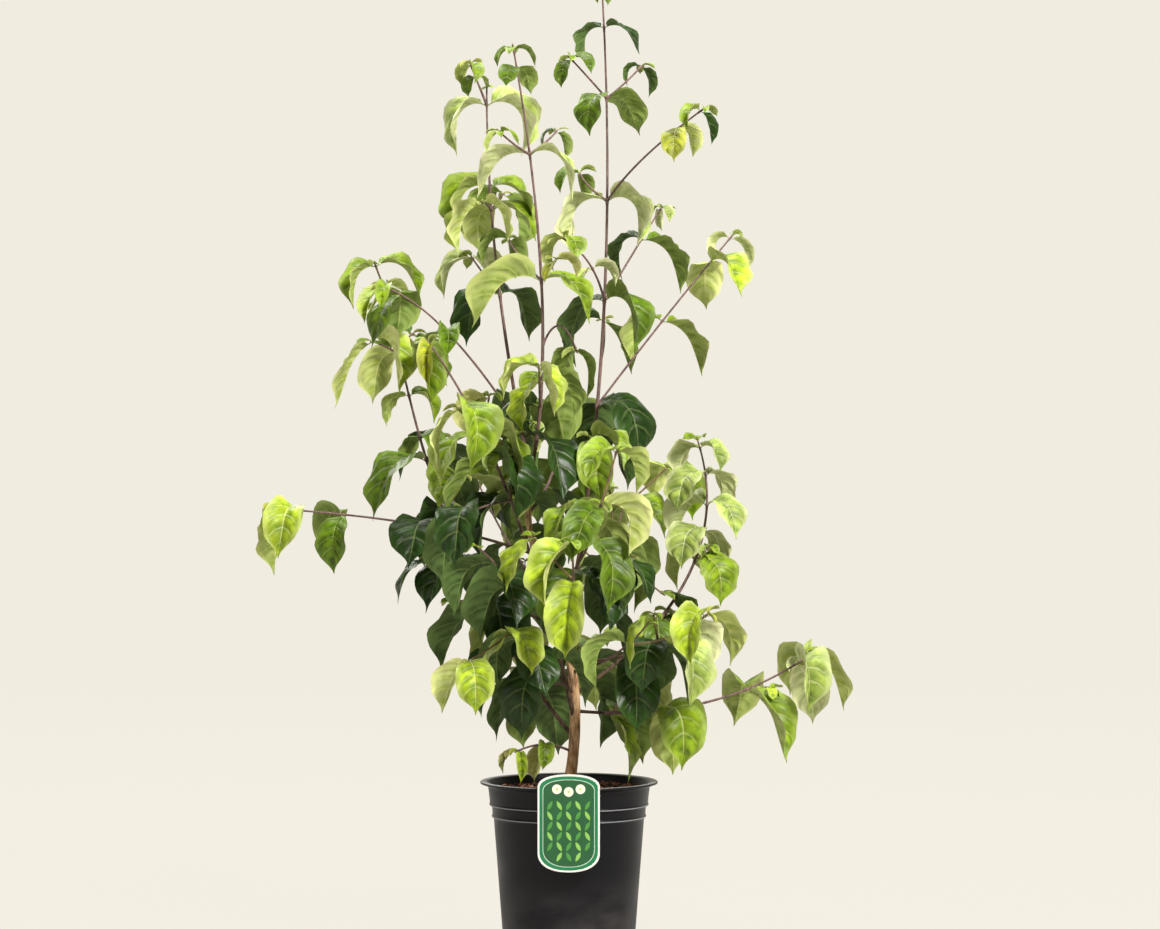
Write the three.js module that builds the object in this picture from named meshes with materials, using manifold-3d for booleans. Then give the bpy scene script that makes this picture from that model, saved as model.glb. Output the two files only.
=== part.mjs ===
// A young Chinese dogwood in its nursery pot: trunk, boughs and masses of foliage as separate solids.
// Millimetres, +Z up. The origin is the centre of the pot's flat underside, and -Y faces the viewer.
// Foliage follows one rule: leaves stand in opposite pairs, each pair about a quarter turn from the
// last, and every leaf rises from its twig, arches over and hangs.

import * as THREE from 'three';
import { mergeVertices } from 'three/addons/utils/BufferGeometryUtils.js';
import Module from 'manifold-3d';

// Pot, soil and label
const GAP = 0.3; // clearance between neighbouring solids
const WELD = 0.001; // points nearer than this are one point
const SAME_CORNER = 1e-5; // corners of one shape nearer than this are one
const POT_HEIGHT = 235;
const POT_WALL = 2;
const POT_FLOOR = 3;
const POT_SIDES = 30;
const RIM_RADIUS = 120;
const RIM_DROP = 6.5; // height of the turned-down edge of the rim
const RIM_BEVEL = 1;
const FOOT_RADIUS = 87.5;
const POT_STEPS = [[101.8, 186], [103.5, 188], [103.5, 201], [107, 203], [109, 233]]; // radius, height
const DRAIN_HOLES = { count: 4, radius: 7, ring: 62, sides: 8 };
const SOIL_TOP = 221;
const LABEL = { width: 82, height: 129, top: 254, arch: 16, thickness: 1.2, segments: 7 };
const HOOK = { width: 30, reach: 19, drop: 10 };

// Trunk, from its flat cut at soil level to its fork
const TRUNK = [[-1, 0, SOIL_TOP + GAP], [43, 0, 482], [-84, -8, 495], [-49, -10, 662]];
const TRUNK_RADIUS = { fork: 3.9, foot: 8, power: 1.5, flare: 4, flareHeight: 12 };
const TRUNK_SIDES = 9;
const TRUNK_STEPS = 16;
const FOOT_CUT = { width: 80, height: 40 };
const TIP_RADIUS = 1.2;
const SHOOT_SHARE = 0.62; // a side shoot's radius as a share of its parent's
const LEAST_RADIUS = 1.7;
const BOUGH_SIDES = 5;
const STEM_SIDES = 3;
const LEAST_STEPS = 2;
const STEP_LENGTH = { bough: 50, stem: 65 };
const ACROSS = 0.7; // limbs that run further than this along X take Y as the guide of their frames
const ROD_END = 0.001; // a share this near to 0 or 1 is a rod's end

// Leaves
const LEAF_WIDTH = 0.55; // of its length
const LEAF_THICKNESS = 1.8; // at the midrib, nothing at the edges
const LEAF_POWER = 0.8; // draws the blade's oval out to a point
const LEAF_RINGS = [0.33, 0.68]; // places of the two cross-sections along the midrib
const RING_CORNER = rad(30); // the upper corners of a three-sided ring stand this far above its middle
const STALK = 0.06; // the stalk's share of a leaf's length
const STALK_HALF_WIDTH = 1.5;
const ROOT_DEPTH = 1; // a leaf's root lies this far behind the twig's middle
const LEAF_ANGLE = rad(56); // between twig and leaf
const PITCH_RANGE = [rad(-30), rad(38)];
const HANG_RANGE = [rad(-72), rad(-108)]; // pitch at the leaf's tip
const ARCH = 0.55; // the share of a leaf's length that arches over
const ARCH_TURN = 0.86; // the share of the turn that the arch takes
const ROLL = rad(26);
const QUARTER = Math.PI / 2;
const FIRST_TURN = 45; // degrees round the twig to its first pair, where nothing else is stated
const OUTWARDS = 0.5; // how much more a leaf heads away from its twig than its root does
const UPRIGHT = 0.15; // a heading shorter than this is taken from the twig instead
const LOOSE = rad(16); // play of a leaf's turn round its twig
const LOOSER = rad(22); // further play with each new try
const LEAN = rad(14); // play of its pitch
const SIZES = [0.9, 1.1]; // play of its length

// Clearances between sample points of leaves and limbs
const CLEAR_OTHER_MASS = 13;
const CLEAR_SAME_MASS = 7;
const CLEAR_LIMB = 9;
const CLEAR_POT = { side: 6, above: 5 };
const CLEAR_LABEL = { side: 6, behind: 8, before: 16, above: 8 };
const ROOT_ZONE = 30; // a leaf may be this near to the twig that carries it
const SEARCH_MARGIN = 5;
const LIMB_STEP = 9; // between the sample points of a limb
const LEAF_SAMPLES = [0.2, 0.34, 0.48, 0.62, 0.76, 0.9, 1]; // shares of the midrib
const TRIES = 7;

// Seeds: steps from mass to mass, shoot to shoot, try to try and spur to spur
const SEED_STEP = { mass: 1000, shoot: 100, attempt: 10, spur: 10 };
const SPUR_SEED = 900; // the first spur's seed after its stem's
const SPUR_LEAF_SEED = 7;

// Seeded spurs: short twigs with one pair of leaves, in the axils of the denser masses
const SPUR = {
  length: [45, 80], angle: rad(58), aside: rad(25), lift: 0.35, sag: -4,
  pair: 0.97, leaf: 88, clear: 14, tests: [0.6, 0.8, 1],
};

// Each mass: its place on the trunk, its stem's reach and bow [across, back, up], root radius,
// the part of the stem that is bare bough, the places of its leaf pairs, the leaf length at each,
// the turn round the stem in degrees of the first pair or of every pair, the share of its pairs
// that bear a spur, and side shoots that follow the same rule.
const MASSES = {
  middle_leader: {
    at: 1, reach: [-25, -60, 555], bow: [50, -20, -75], radius: 2.8, bare: 0.05,
    pairs: [0.08, 0.18, 0.27, 0.51, 0.79, 0.96, 0.995],
    leaf: [126, 130, 60, 118, 108, 50, 42], turns: [110, 20, 65, -20, 5, 60, -5],
    shoots: [
      { at: 0.51, reach: [-45, 70, 60], bow: [-15, 10, 10], pairs: [0.97], leaf: [66] },
      { at: 0.51, reach: [20, -60, 25], bow: [0, 0, -5], pairs: [0.97], leaf: [46] },
      { at: 0.79, reach: [-40, -65, 25], bow: [0, -5, -5], pairs: [0.97], leaf: [40] },
      { at: 0.79, reach: [35, 45, 35], bow: [10, 5, 5], pairs: [0.97], leaf: [40] },
      { at: 0.18, reach: [0, -115, 50], bow: [0, -40, 0], pairs: [0.6, 0.97], leaf: [92, 80] },
      { at: 0.35, reach: [45, 80, -5], bow: [0, 0, 60], pairs: [0.97], leaf: [76] },
    ],
  },
  left_leader: {
    at: 0.97, reach: [-62, 100, 535], bow: [-30, 20, 10], radius: 2.7, bare: 0.06,
    pairs: [0.08, 0.19, 0.45, 0.67, 0.73, 0.95],
    leaf: [120, 116, 106, 92, 96, 110], turns: [10, 100, 225, -50, 20, 5],
    shoots: [
      {
        at: 0.11, reach: [-180, -65, 190], bow: [-10, -45, 65],
        pairs: [0.52, 0.88, 0.98], leaf: [80, 92, 58], turn: 130,
      },
      { at: 0.45, reach: [-40, 60, 55], bow: [-5, 5, 5], pairs: [0.97], leaf: [84], turn: 5 },
      { at: 0.67, reach: [-10, -75, 5], bow: [-5, -10, 10], pairs: [0.97], leaf: [88], turn: 10 },
      { at: 0.67, reach: [15, 85, 30], bow: [0, 5, 5], pairs: [0.97], leaf: [84] },
      { at: 0.95, reach: [-22, -10, 55], bow: [0, 5, 0], pairs: [0.7, 0.97], leaf: [34, 40] },
    ],
  },
  right_leader: {
    at: 0.37, reach: [50, 100, 905], bow: [55, 60, -45], radius: 3.2, bare: 0.29,
    pairs: [0.32, 0.37, 0.53, 0.68, 0.83, 0.93, 0.99],
    leaf: [128, 124, 110, 114, 88, 78, 43], turns: [50, -40, -45, -15, 45, -25, 60],
    shoots: [
      {
        at: 0.37, reach: [190, 100, 240], bow: [-5, 0, 0],
        pairs: [0.49, 0.83, 0.98], leaf: [106, 94, 54], turn: 25,
      },
      { at: 0.53, reach: [80, 90, 135], bow: [5, -10, 10], pairs: [0.62, 0.98], leaf: [100, 34], turn: 10 },
      { at: 0.53, reach: [-55, -90, 80], bow: [15, -10, 15], pairs: [0.44, 0.97], leaf: [52, 60] },
      { at: 0.68, reach: [130, -130, 115], bow: [-30, 10, -5], pairs: [0.8, 0.97], leaf: [62, 48] },
      { at: 0.68, reach: [-38, 40, 42], bow: [-10, 0, 0], pairs: [0.97], leaf: [48] },
      { at: 0.83, reach: [-50, -45, 50], bow: [5, -5, -5], pairs: [0.97], leaf: [46] },
      { at: 0.83, reach: [50, 45, 50], bow: [-5, -15, -10], pairs: [0.97], leaf: [47] },
      { at: 0.44, reach: [5, 110, 60], bow: [5, 0, 0], pairs: [0.97], leaf: [96] },
      { at: 0.32, reach: [-8, -100, 0], bow: [5, 0, -10], pairs: [0.9], leaf: [88] },
    ],
  },
  left_arch: {
    at: 0.13, reach: [-195, -120, 515], bow: [25, -40, 90], radius: 3.2, bare: 0.45,
    pairs: [0.5, 0.6, 0.68, 0.97], leaf: [120, 122, 116, 78], turns: [45, 135, 215, 95], spurs: 0.2,
    shoots: [
      { at: 0.7, reach: [-25, -100, 25], bow: [5, -20, 15], pairs: [0.95], leaf: [116] },
      { at: 0.5, reach: [-55, -90, -15], bow: [0, -10, 5], pairs: [0.97], leaf: [110] },
    ],
  },
  outer_left: {
    at: 0.1, reach: [-258, 90, 620], bow: [-70, -10, -80], radius: 3.2, bare: 0.21,
    pairs: [0.23, 0.34, 0.45, 0.55, 0.66, 0.71, 0.79, 0.87, 0.97],
    leaf: [122, 124, 122, 118, 130, 66, 66, 108, 70],
    turns: [45, 135, 45, -45, 45, 135, 5, -45, 45], spurs: 0.3,
    shoots: [
      { at: 0.87, reach: [-35, -70, 15], bow: [-5, 10, 5], pairs: [0.97], leaf: [114] },
      { at: 0.87, reach: [15, 60, 30], bow: [-5, 10, 5], pairs: [0.97], leaf: [84] },
      { at: 0.66, reach: [15, 80, 30], bow: [-5, 25, -5], pairs: [0.97], leaf: [94] },
      { at: 0.91, reach: [-15, -50, 60], bow: [5, 0, 5], pairs: [0.97], leaf: [66] },
    ],
  },
  long_left: {
    at: 0.69, reach: [-348, -55, 64], bow: [62, 25, 15], radius: 2.2, bare: 0.47,
    pairs: [0.51, 0.8, 0.94, 0.99], leaf: [114, 98, 98, 48],
  },
  low_left: {
    at: 0.2, reach: [-88, -115, 88], bow: [-20, -20, 35], radius: 2.2, bare: 0.3,
    pairs: [0.35, 0.65, 0.97], leaf: [114, 110, 98], spurs: 0.3,
  },
  left_inner: {
    at: 0.4, reach: [-150, 25, 35], bow: [-25, 5, 25], radius: 2, bare: 0.3,
    pairs: [0.38, 0.68, 0.97], leaf: [118, 114, 106], spurs: 0.35,
  },
  right_arch: {
    at: 0.2, reach: [170, 110, 345], bow: [145, 10, -20], radius: 2.8, bare: 0.26,
    pairs: [0.3, 0.55, 0.66, 0.76, 0.87, 0.97], leaf: [96, 88, 92, 88, 82, 70],
  },
  right_mid: {
    at: 0.55, reach: [105, 35, 40], bow: [-5, -5, 25], radius: 1.9, bare: 0.3,
    pairs: [0.38, 0.68, 0.97], leaf: [112, 106, 98], spurs: 0.2,
  },
  right_low: {
    at: 0.29, reach: [180, -130, 70], bow: [15, -10, -30], radius: 2.2, bare: 0.35,
    pairs: [0.4, 0.61, 0.78, 0.98], leaf: [112, 110, 106, 98], spurs: 0.15,
  },
  low_right: {
    at: 0.16, reach: [325, 60, 75], bow: [25, -40, -55], radius: 2.4, bare: 0.11,
    pairs: [0.14, 0.33, 0.68, 0.92, 0.98], leaf: [118, 114, 118, 106, 92], spurs: 0.1,
  },
  front_right: {
    at: 0.51, reach: [65, -185, 130], bow: [20, -25, -5], radius: 2, bare: 0.3,
    pairs: [0.36, 0.67, 0.97], leaf: [114, 110, 98], spurs: 0.35,
  },
  front_low: {
    at: 0.33, reach: [5, -230, 150], bow: [10, -10, -5], radius: 2.2, bare: 0.3,
    pairs: [0.36, 0.67, 0.97], leaf: [122, 116, 104], spurs: 0.5,
  },
  front_left: {
    at: 0.43, reach: [-105, -215, 105], bow: [-15, -15, 10], radius: 2, bare: 0.3,
    pairs: [0.36, 0.67, 0.97], leaf: [118, 112, 104], spurs: 0.4,
  },
  right_front: {
    at: 0.26, reach: [100, -165, 75], bow: [10, -10, -20], radius: 2, bare: 0.3,
    pairs: [0.4, 0.7, 0.97], leaf: [112, 108, 98], spurs: 0.2,
  },
  back_top: {
    at: 0.85, reach: [40, 200, 150], bow: [30, 40, -20], radius: 2.2, bare: 0.25,
    pairs: [0.3, 0.55, 0.8, 0.98], leaf: [116, 112, 104, 92], spurs: 0.35,
  },
  back_left: {
    at: 0.49, reach: [-110, 225, 165], bow: [-5, 5, -25], radius: 2.3, bare: 0.3,
    pairs: [0.35, 0.56, 0.79, 0.98], leaf: [120, 116, 108, 96], spurs: 0.35,
  },
  back_right: {
    at: 0.45, reach: [95, 250, 150], bow: [10, 15, -40], radius: 2.3, bare: 0.3,
    pairs: [0.35, 0.56, 0.79, 0.98], leaf: [120, 116, 108, 96], spurs: 0.35,
  },
  back_low: {
    at: 0.27, reach: [40, 280, 25], bow: [-5, 20, -35], radius: 2.2, bare: 0.3,
    pairs: [0.35, 0.56, 0.79, 0.98], leaf: [120, 116, 110, 100], spurs: 0.35,
  },
  back_low_left: {
    at: 0.23, reach: [-110, 230, 30], bow: [-20, -10, -30], radius: 2.2, bare: 0.3,
    pairs: [0.35, 0.56, 0.79, 0.98], leaf: [120, 116, 110, 100], spurs: 0.35,
  },
  foot_shoot: {
    at: 0.07, reach: [-75, -40, 5], bow: [0, 0, 20], radius: 1.8, bare: 0,
    pairs: [0.5, 0.97], leaf: [56, 52],
  },
};

// Materials
const finish = (color, roughness) => new THREE.MeshStandardMaterial({ color, roughness, metalness: 0 });
const POT_PLASTIC = finish(0x1d1c20, 0.45);
const LABEL_PLASTIC = finish(0xe8ece4, 0.4);
const SOIL = finish(0x5a3a2a, 0.95);
const BARK = finish(0x8a6244, 0.8);
const TWIG_BARK = finish(0x6b4a42, 0.7);
const LEAF = finish(0x4f7a2a, 0.5);

const wasm = await Module();
wasm.setup();
const UP = new THREE.Vector3(0, 0, 1);
const group = new THREE.Group();

function rad(degrees) {
  return degrees * Math.PI / 180;
}

function mix(range, share) {
  return range[0] + (range[1] - range[0]) * share;
}

// Seeded dice: the same two whole numbers always give the same value from 0 to 1.
function dice(a, b) {
  let h = Math.imul(a + 1, 0x9e3779b1) ^ Math.imul(b + 1, 0x85ebca6b);
  h = Math.imul(h ^ (h >>> 15), 0x2c1b3c6d);
  h = Math.imul(h ^ (h >>> 12), 0x297a2d39);
  return ((h ^ (h >>> 15)) >>> 0) / 2 ** 32;
}

// Solids from three.js geometries, and back

function solid(geometry) {
  const shape = geometry.clone();
  shape.deleteAttribute('normal');
  shape.deleteAttribute('uv');
  const merged = mergeVertices(shape, SAME_CORNER);
  const vertProperties = merged.attributes.position.array;
  const triVerts = new Uint32Array(merged.index.array);
  return new wasm.Manifold(new wasm.Mesh({ numProp: 3, vertProperties, triVerts }));
}

// The largest single body of a solid: scraps that a cut leaves are dropped.
function mainBody(body) {
  return body.decompose().sort((a, b) => b.volume() - a.volume())[0];
}

function addNode(name, body, material) {
  const { vertProperties, triVerts } = body.simplify(WELD).getMesh();
  const geometry = new THREE.BufferGeometry();
  geometry.setAttribute('position', new THREE.BufferAttribute(vertProperties, 3));
  geometry.setIndex(new THREE.BufferAttribute(triVerts, 1));
  geometry.computeVertexNormals();
  const mesh = new THREE.Mesh(geometry, material);
  mesh.name = name;
  group.add(mesh);
}

// Whether every edge still joins exactly two faces once near points are welded.
function isClosed(body) {
  const { vertProperties, triVerts } = body.simplify(WELD).getMesh();
  const shape = new THREE.BufferGeometry();
  shape.setAttribute('position', new THREE.BufferAttribute(vertProperties, 3));
  shape.setIndex(new THREE.BufferAttribute(triVerts, 1));
  const corners = mergeVertices(shape, WELD).index.array;
  const uses = new Map();
  for (let i = 0; i < corners.length; i += 3) {
    const face = corners.slice(i, i + 3);
    if (new Set(face).size < 3) continue;
    for (const k of [0, 1, 2]) {
      const ends = [face[k], face[(k + 1) % 3]].sort((a, b) => a - b).join();
      uses.set(ends, (uses.get(ends) ?? 0) + 1);
    }
  }
  return [...uses.values()].every((count) => count === 2);
}

// Whether two solids share no space, tested on their boxes first.
function apart(a, b) {
  const [boxA, boxB] = [a.boundingBox(), b.boundingBox()];
  if ([0, 1, 2].some((k) => boxA.min[k] > boxB.max[k] || boxB.min[k] > boxA.max[k])) return true;
  return a.intersect(b).volume() === 0;
}

// A profile of [radius, height] points turned round the Z axis.
function turned(points, sides) {
  const profile = points.map(([radius, height]) => new THREE.Vector2(radius, height));
  return solid(new THREE.LatheGeometry(profile, sides).rotateX(QUARTER));
}

function box(width, depth, height, x, y, z) {
  return solid(new THREE.BoxGeometry(width, depth, height).translate(x, y, z));
}

// Pot: a tapered shell with two steps and a rim that turns out and down
function makePot() {
  const rimTop = POT_STEPS.at(-1)[0] - POT_WALL;
  const outside = [[0, 0], [FOOT_RADIUS, 0], ...POT_STEPS];
  const rim = [
    [RIM_RADIUS - POT_WALL, POT_HEIGHT - POT_WALL], [RIM_RADIUS - POT_WALL, POT_HEIGHT - RIM_DROP],
    [RIM_RADIUS, POT_HEIGHT - RIM_DROP], [RIM_RADIUS, POT_HEIGHT - RIM_BEVEL],
    [RIM_RADIUS - RIM_BEVEL, POT_HEIGHT], [rimTop, POT_HEIGHT],
  ];
  let pot = turned([...outside, ...rim, ...potInside(0).reverse(), [0, POT_FLOOR]], POT_SIDES);
  const { count, radius, ring, sides } = DRAIN_HOLES;
  for (let i = 0; i < count; i += 1) {
    const hole = new THREE.CylinderGeometry(radius, radius, 4 * POT_FLOOR, sides).rotateX(QUARTER);
    const turn = (i + 0.5) * 2 * Math.PI / count;
    pot = pot.subtract(solid(hole.translate(ring * Math.cos(turn), ring * Math.sin(turn), 0)));
  }
  addNode('pot', pot, POT_PLASTIC);
}

// The pot's inner wall from its floor upwards, as [radius, height], drawn in by a gap.
function potInside(gap) {
  const slope = (POT_STEPS[0][0] - FOOT_RADIUS) / POT_STEPS[0][1];
  const inside = POT_STEPS.slice(0, 1).map(([radius, height]) => [radius - POT_WALL - gap, height]);
  return [[FOOT_RADIUS + slope * POT_FLOOR - POT_WALL - gap, POT_FLOOR + gap], ...inside];
}

// Soil: fills the pot up to a flat top, just clear of its wall
function makeSoil() {
  const wall = potInside(GAP);
  const [[lowRadius, lowHeight], topRadius] = [POT_STEPS[0], POT_STEPS.at(-1)[0]];
  const share = (SOIL_TOP - lowHeight) / (POT_HEIGHT - lowHeight);
  const top = mix([lowRadius, topRadius], share) - POT_WALL - 2 * GAP;
  addNode('soil', turned([[0, POT_FLOOR + GAP], ...wall, [top, SOIL_TOP], [0, SOIL_TOP]], POT_SIDES), SOIL);
}

// Label: a plate with arched ends that hangs on the rim by a hook
function makeLabel() {
  const { width, height, top, arch, thickness, segments } = LABEL;
  const half = width / 2;
  const arcRadius = (half * half + arch * arch) / (2 * arch);
  const spread = Math.asin(half / arcRadius);
  const outline = new THREE.Shape();
  outline.absarc(0, top - arcRadius, arcRadius, QUARTER + spread, QUARTER - spread, true);
  outline.absarc(0, top - height + arcRadius, arcRadius, spread - QUARTER, -spread - QUARTER, true);
  const options = { depth: thickness, bevelEnabled: false, curveSegments: segments };
  const plate = new THREE.ExtrudeGeometry(outline, options);
  const back = -RIM_RADIUS - GAP;
  let label = solid(plate.rotateX(QUARTER).translate(0, back, 0));
  const bridge = POT_HEIGHT + GAP + thickness / 2;
  label = label.add(box(HOOK.width, HOOK.reach, thickness, 0, back + HOOK.reach / 2 - thickness / 2, bridge));
  const tongueY = back + HOOK.reach - thickness;
  const tongueZ = bridge + thickness / 2 - HOOK.drop / 2;
  addNode('label', label.add(box(HOOK.width, thickness, HOOK.drop, 0, tongueY, tongueZ)), LABEL_PLASTIC);
}

// Limbs

function vector(list) {
  return new THREE.Vector3(...list);
}

// A limb from a root point: its middle is drawn aside by the bow.
function limbCurve(root, reach, bow) {
  const tip = root.clone().add(vector(reach));
  const handle = root.clone().add(tip).multiplyScalar(0.5).add(vector(bow));
  return new THREE.QuadraticBezierCurve3(root, handle, tip);
}

// Point, tangent and two directions across the limb at a place along it.
function frameAt(curve, t) {
  const chord = curve.getPoint(1).sub(curve.getPoint(0)).normalize();
  const guide = Math.abs(chord.x) > ACROSS ? new THREE.Vector3(0, 1, 0) : new THREE.Vector3(1, 0, 0);
  const along = curve.getTangent(t);
  const first = guide.addScaledVector(along, -guide.dot(along)).normalize();
  const second = along.clone().cross(first);
  return { point: curve.getPoint(t), along, first, second };
}

// A tapering rod along a curve between two places on it, its radius a function of the place.
// A gap makes it fatter and longer, as the space that a neighbour keeps out of.
function rod(curve, from, to, radiusAt, sides, steps, gap = 0) {
  const geometry = new THREE.CylinderGeometry(1, 1, 1, sides, steps);
  const position = geometry.attributes.position;
  for (let i = 0; i < position.count; i += 1) {
    const share = 0.5 - position.getY(i);
    const place = mix([from, to], share);
    const { point, along, first, second } = frameAt(curve, place);
    const radius = radiusAt(place) + gap;
    point.addScaledVector(first, position.getX(i) * radius).addScaledVector(second, position.getZ(i) * radius);
    if (share < ROD_END) point.addScaledVector(along, -gap);
    if (share > 1 - ROD_END) point.addScaledVector(along, gap);
    position.setXYZ(i, point.x, point.y, point.z);
  }
  return solid(geometry);
}

const trunkCurve = new THREE.CubicBezierCurve3(...TRUNK.map(vector));

function trunkRadius(t) {
  const { fork, foot, power, flare, flareHeight } = TRUNK_RADIUS;
  const height = trunkCurve.getPoint(t).z - SOIL_TOP;
  return fork + (foot - fork) * (1 - t) ** power + flare * Math.exp(-height / flareHeight);
}

// The trunk, its lower end cut flat on the soil.
function trunkSolid(gap) {
  const { width, height } = FOOT_CUT;
  const stem = rod(trunkCurve, 0, 1, trunkRadius, TRUNK_SIDES, TRUNK_STEPS, gap);
  const foot = box(width, width, height, 0, 0, TRUNK[0][2] - height / 2 - gap);
  return mainBody(stem.subtract(foot));
}

// A limb's radius falls evenly from its root to its tip.
function taper(root) {
  return (t) => mix([root, Math.min(TIP_RADIUS, root)], t);
}

// Leaves

// The midrib's way out, its rise and its pitch at a share of the leaf's length. It runs in two
// arcs: a tight one over the arch, then a slack one where the leaf hangs.
function midrib(leaf, share) {
  let [out, rise, pitch, start] = [0, 0, leaf.pitch, 0];
  for (const [end, turn] of [[ARCH, ARCH_TURN * leaf.droop], [1, (1 - ARCH_TURN) * leaf.droop]]) {
    const part = Math.min(1, (share - start) / (end - start));
    if (start > 0 && part <= 0) break;
    const next = pitch - turn * part;
    const radius = leaf.length * (end - start) / turn;
    out += radius * (Math.sin(pitch) - Math.sin(next));
    rise += radius * (Math.cos(next) - Math.cos(pitch));
    pitch = next;
    start = end;
  }
  return { out, rise, pitch };
}

// A leaf's blade: a point at a share of its midrib, a distance across it and a lift above it.
function bladePoint(leaf, share, across, lift) {
  const { out, rise, pitch } = midrib(leaf, share);
  const face = leaf.heading.clone().multiplyScalar(-Math.sin(pitch)).addScaledVector(UP, Math.cos(pitch));
  const side = UP.clone().cross(leaf.heading);
  const wide = side.clone().multiplyScalar(Math.cos(leaf.roll)).addScaledVector(face, Math.sin(leaf.roll));
  const above = face.multiplyScalar(Math.cos(leaf.roll)).addScaledVector(side, -Math.sin(leaf.roll));
  return leaf.root.clone().addScaledVector(leaf.heading, out).addScaledVector(UP, rise)
    .addScaledVector(wide, across).addScaledVector(above, lift);
}

// Half the blade's width at a share of its length: a broad oval drawn out to a point.
function halfWidth(leaf, share) {
  if (share <= STALK) return STALK_HALF_WIDTH;
  const blade = (share - STALK) / (1 - STALK);
  return Math.max(0, 0.5 * LEAF_WIDTH * leaf.length * Math.sin(Math.PI * blade ** LEAF_POWER) ** LEAF_POWER);
}

// A leaf's solid: a sphere's three-sided rings laid along the blade, two corners on its edges and
// one under the midrib. The root pole lies inside the twig.
function leafSolid(leaf) {
  const geometry = new THREE.SphereGeometry(1, 3, LEAF_RINGS.length + 1).rotateY(-QUARTER);
  const position = geometry.attributes.position;
  const places = [-ROOT_DEPTH / leaf.length, ...LEAF_RINGS, 1];
  const corner = { x: Math.cos(RING_CORNER), z: Math.sin(RING_CORNER) };
  const last = places.length - 1;
  for (let i = 0; i < position.count; i += 1) {
    const ring = Math.round(Math.acos(THREE.MathUtils.clamp(position.getY(i), -1, 1)) / Math.PI * last);
    const size = Math.sin(Math.PI * ring / last);
    const atPole = ring === 0 || ring === last;
    const across = atPole ? 0 : halfWidth(leaf, places[ring]) * position.getX(i) / (size * corner.x);
    const lift = atPole ? 0 : LEAF_THICKNESS * (position.getZ(i) / size - corner.z) / (1 + corner.z);
    const point = bladePoint(leaf, places[ring], across, lift);
    position.setXYZ(i, point.x, point.y, point.z);
  }
  return solid(geometry);
}

// Points on a leaf that stand for it when distances are tested.
function leafSamples(leaf) {
  const samples = [];
  for (const share of LEAF_SAMPLES) {
    const half = halfWidth(leaf, share);
    for (const across of share === 1 ? [0] : [-half, 0, half]) samples.push(bladePoint(leaf, share, across, 0));
  }
  return samples;
}

// The leaf of one side of a pair: which way it leaves the twig, and how it hangs.
function aimLeaf(curve, place, turn, length, seed, attempt) {
  const { point, along, first, second } = frameAt(curve, place);
  const thrown = [0, 1, 2, 3, 4].map((which) => dice(seed, SEED_STEP.attempt * attempt + which));
  const azimuth = turn + (LOOSE + LOOSER * attempt) * (thrown[0] - 0.5);
  const radial = first.clone().multiplyScalar(Math.cos(azimuth)).addScaledVector(second, Math.sin(azimuth));
  const away = along.clone().multiplyScalar(Math.cos(LEAF_ANGLE)).addScaledVector(radial, Math.sin(LEAF_ANGLE));
  let heading = away.clone().addScaledVector(radial, OUTWARDS).setZ(0);
  if (heading.length() < UPRIGHT) heading = along.clone().setZ(0);
  heading.normalize();
  const pitch = THREE.MathUtils.clamp(Math.asin(away.z) + LEAN * (thrown[1] - 0.5), ...PITCH_RANGE);
  const droop = pitch - mix(HANG_RANGE, thrown[2]);
  const roll = ROLL * (2 * thrown[3] - 1);
  return { root: point, heading, pitch, droop, roll, length: length * mix(SIZES, thrown[4]) };
}

// Whether a point lies in or close to the pot, its soil or its label.
function nearPot(point) {
  const radius = Math.hypot(point.x, point.y);
  const top = radius < POT_STEPS[0][0] ? SOIL_TOP : POT_HEIGHT;
  const atRim = radius < RIM_RADIUS + CLEAR_POT.side && point.z < top + CLEAR_POT.above;
  const ahead = -RIM_RADIUS - point.y;
  const besideLabel = Math.abs(point.x) < LABEL.width / 2 + CLEAR_LABEL.side;
  const underLabelTop = point.z < LABEL.top + CLEAR_LABEL.above;
  const closeToLabel = ahead > -CLEAR_LABEL.behind && ahead < CLEAR_LABEL.before;
  return atRim || (besideLabel && underLabelTop && closeToLabel);
}

// Everything that grows, as sample points: {point, mass, kind}
const grown = [];

function addLimbSamples(curve, mass) {
  const count = Math.ceil(curve.getLength() / LIMB_STEP);
  for (let i = 0; i <= count; i += 1) grown.push({ point: curve.getPoint(i / count), mass, leaf: false });
}

function leafIsClear(leaf, mass) {
  const samples = leafSamples(leaf);
  if (samples.some(nearPot)) return false;
  const reach = leaf.length + CLEAR_OTHER_MASS + SEARCH_MARGIN;
  for (const other of grown) {
    if (other.point.distanceToSquared(leaf.root) > reach * reach) continue;
    if (!other.leaf && other.mass === mass && other.point.distanceTo(leaf.root) < ROOT_ZONE) continue;
    const clear = other.leaf ? (other.mass === mass ? CLEAR_SAME_MASS : CLEAR_OTHER_MASS) : CLEAR_LIMB;
    if (samples.some((sample) => sample.distanceToSquared(other.point) < clear * clear)) return false;
  }
  return true;
}

// Grows one leaf, aimed anew when it would touch a neighbour, and left out where nothing fits.
function growLeaf(curve, place, turn, length, seed, mass) {
  for (let attempt = 0; attempt < TRIES; attempt += 1) {
    const leaf = aimLeaf(curve, place, turn, length, seed, attempt);
    if (!leafIsClear(leaf, mass)) continue;
    for (const point of leafSamples(leaf)) grown.push({ point, mass, leaf: true });
    return [leaf];
  }
  return [];
}

// The turn of a pair round its stem: as stated, or a quarter turn on from the pair before.
function pairTurn({ turn = FIRST_TURN, turns }, i) {
  return turns ? rad(turns[i]) : rad(turn) + QUARTER * i;
}

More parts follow.
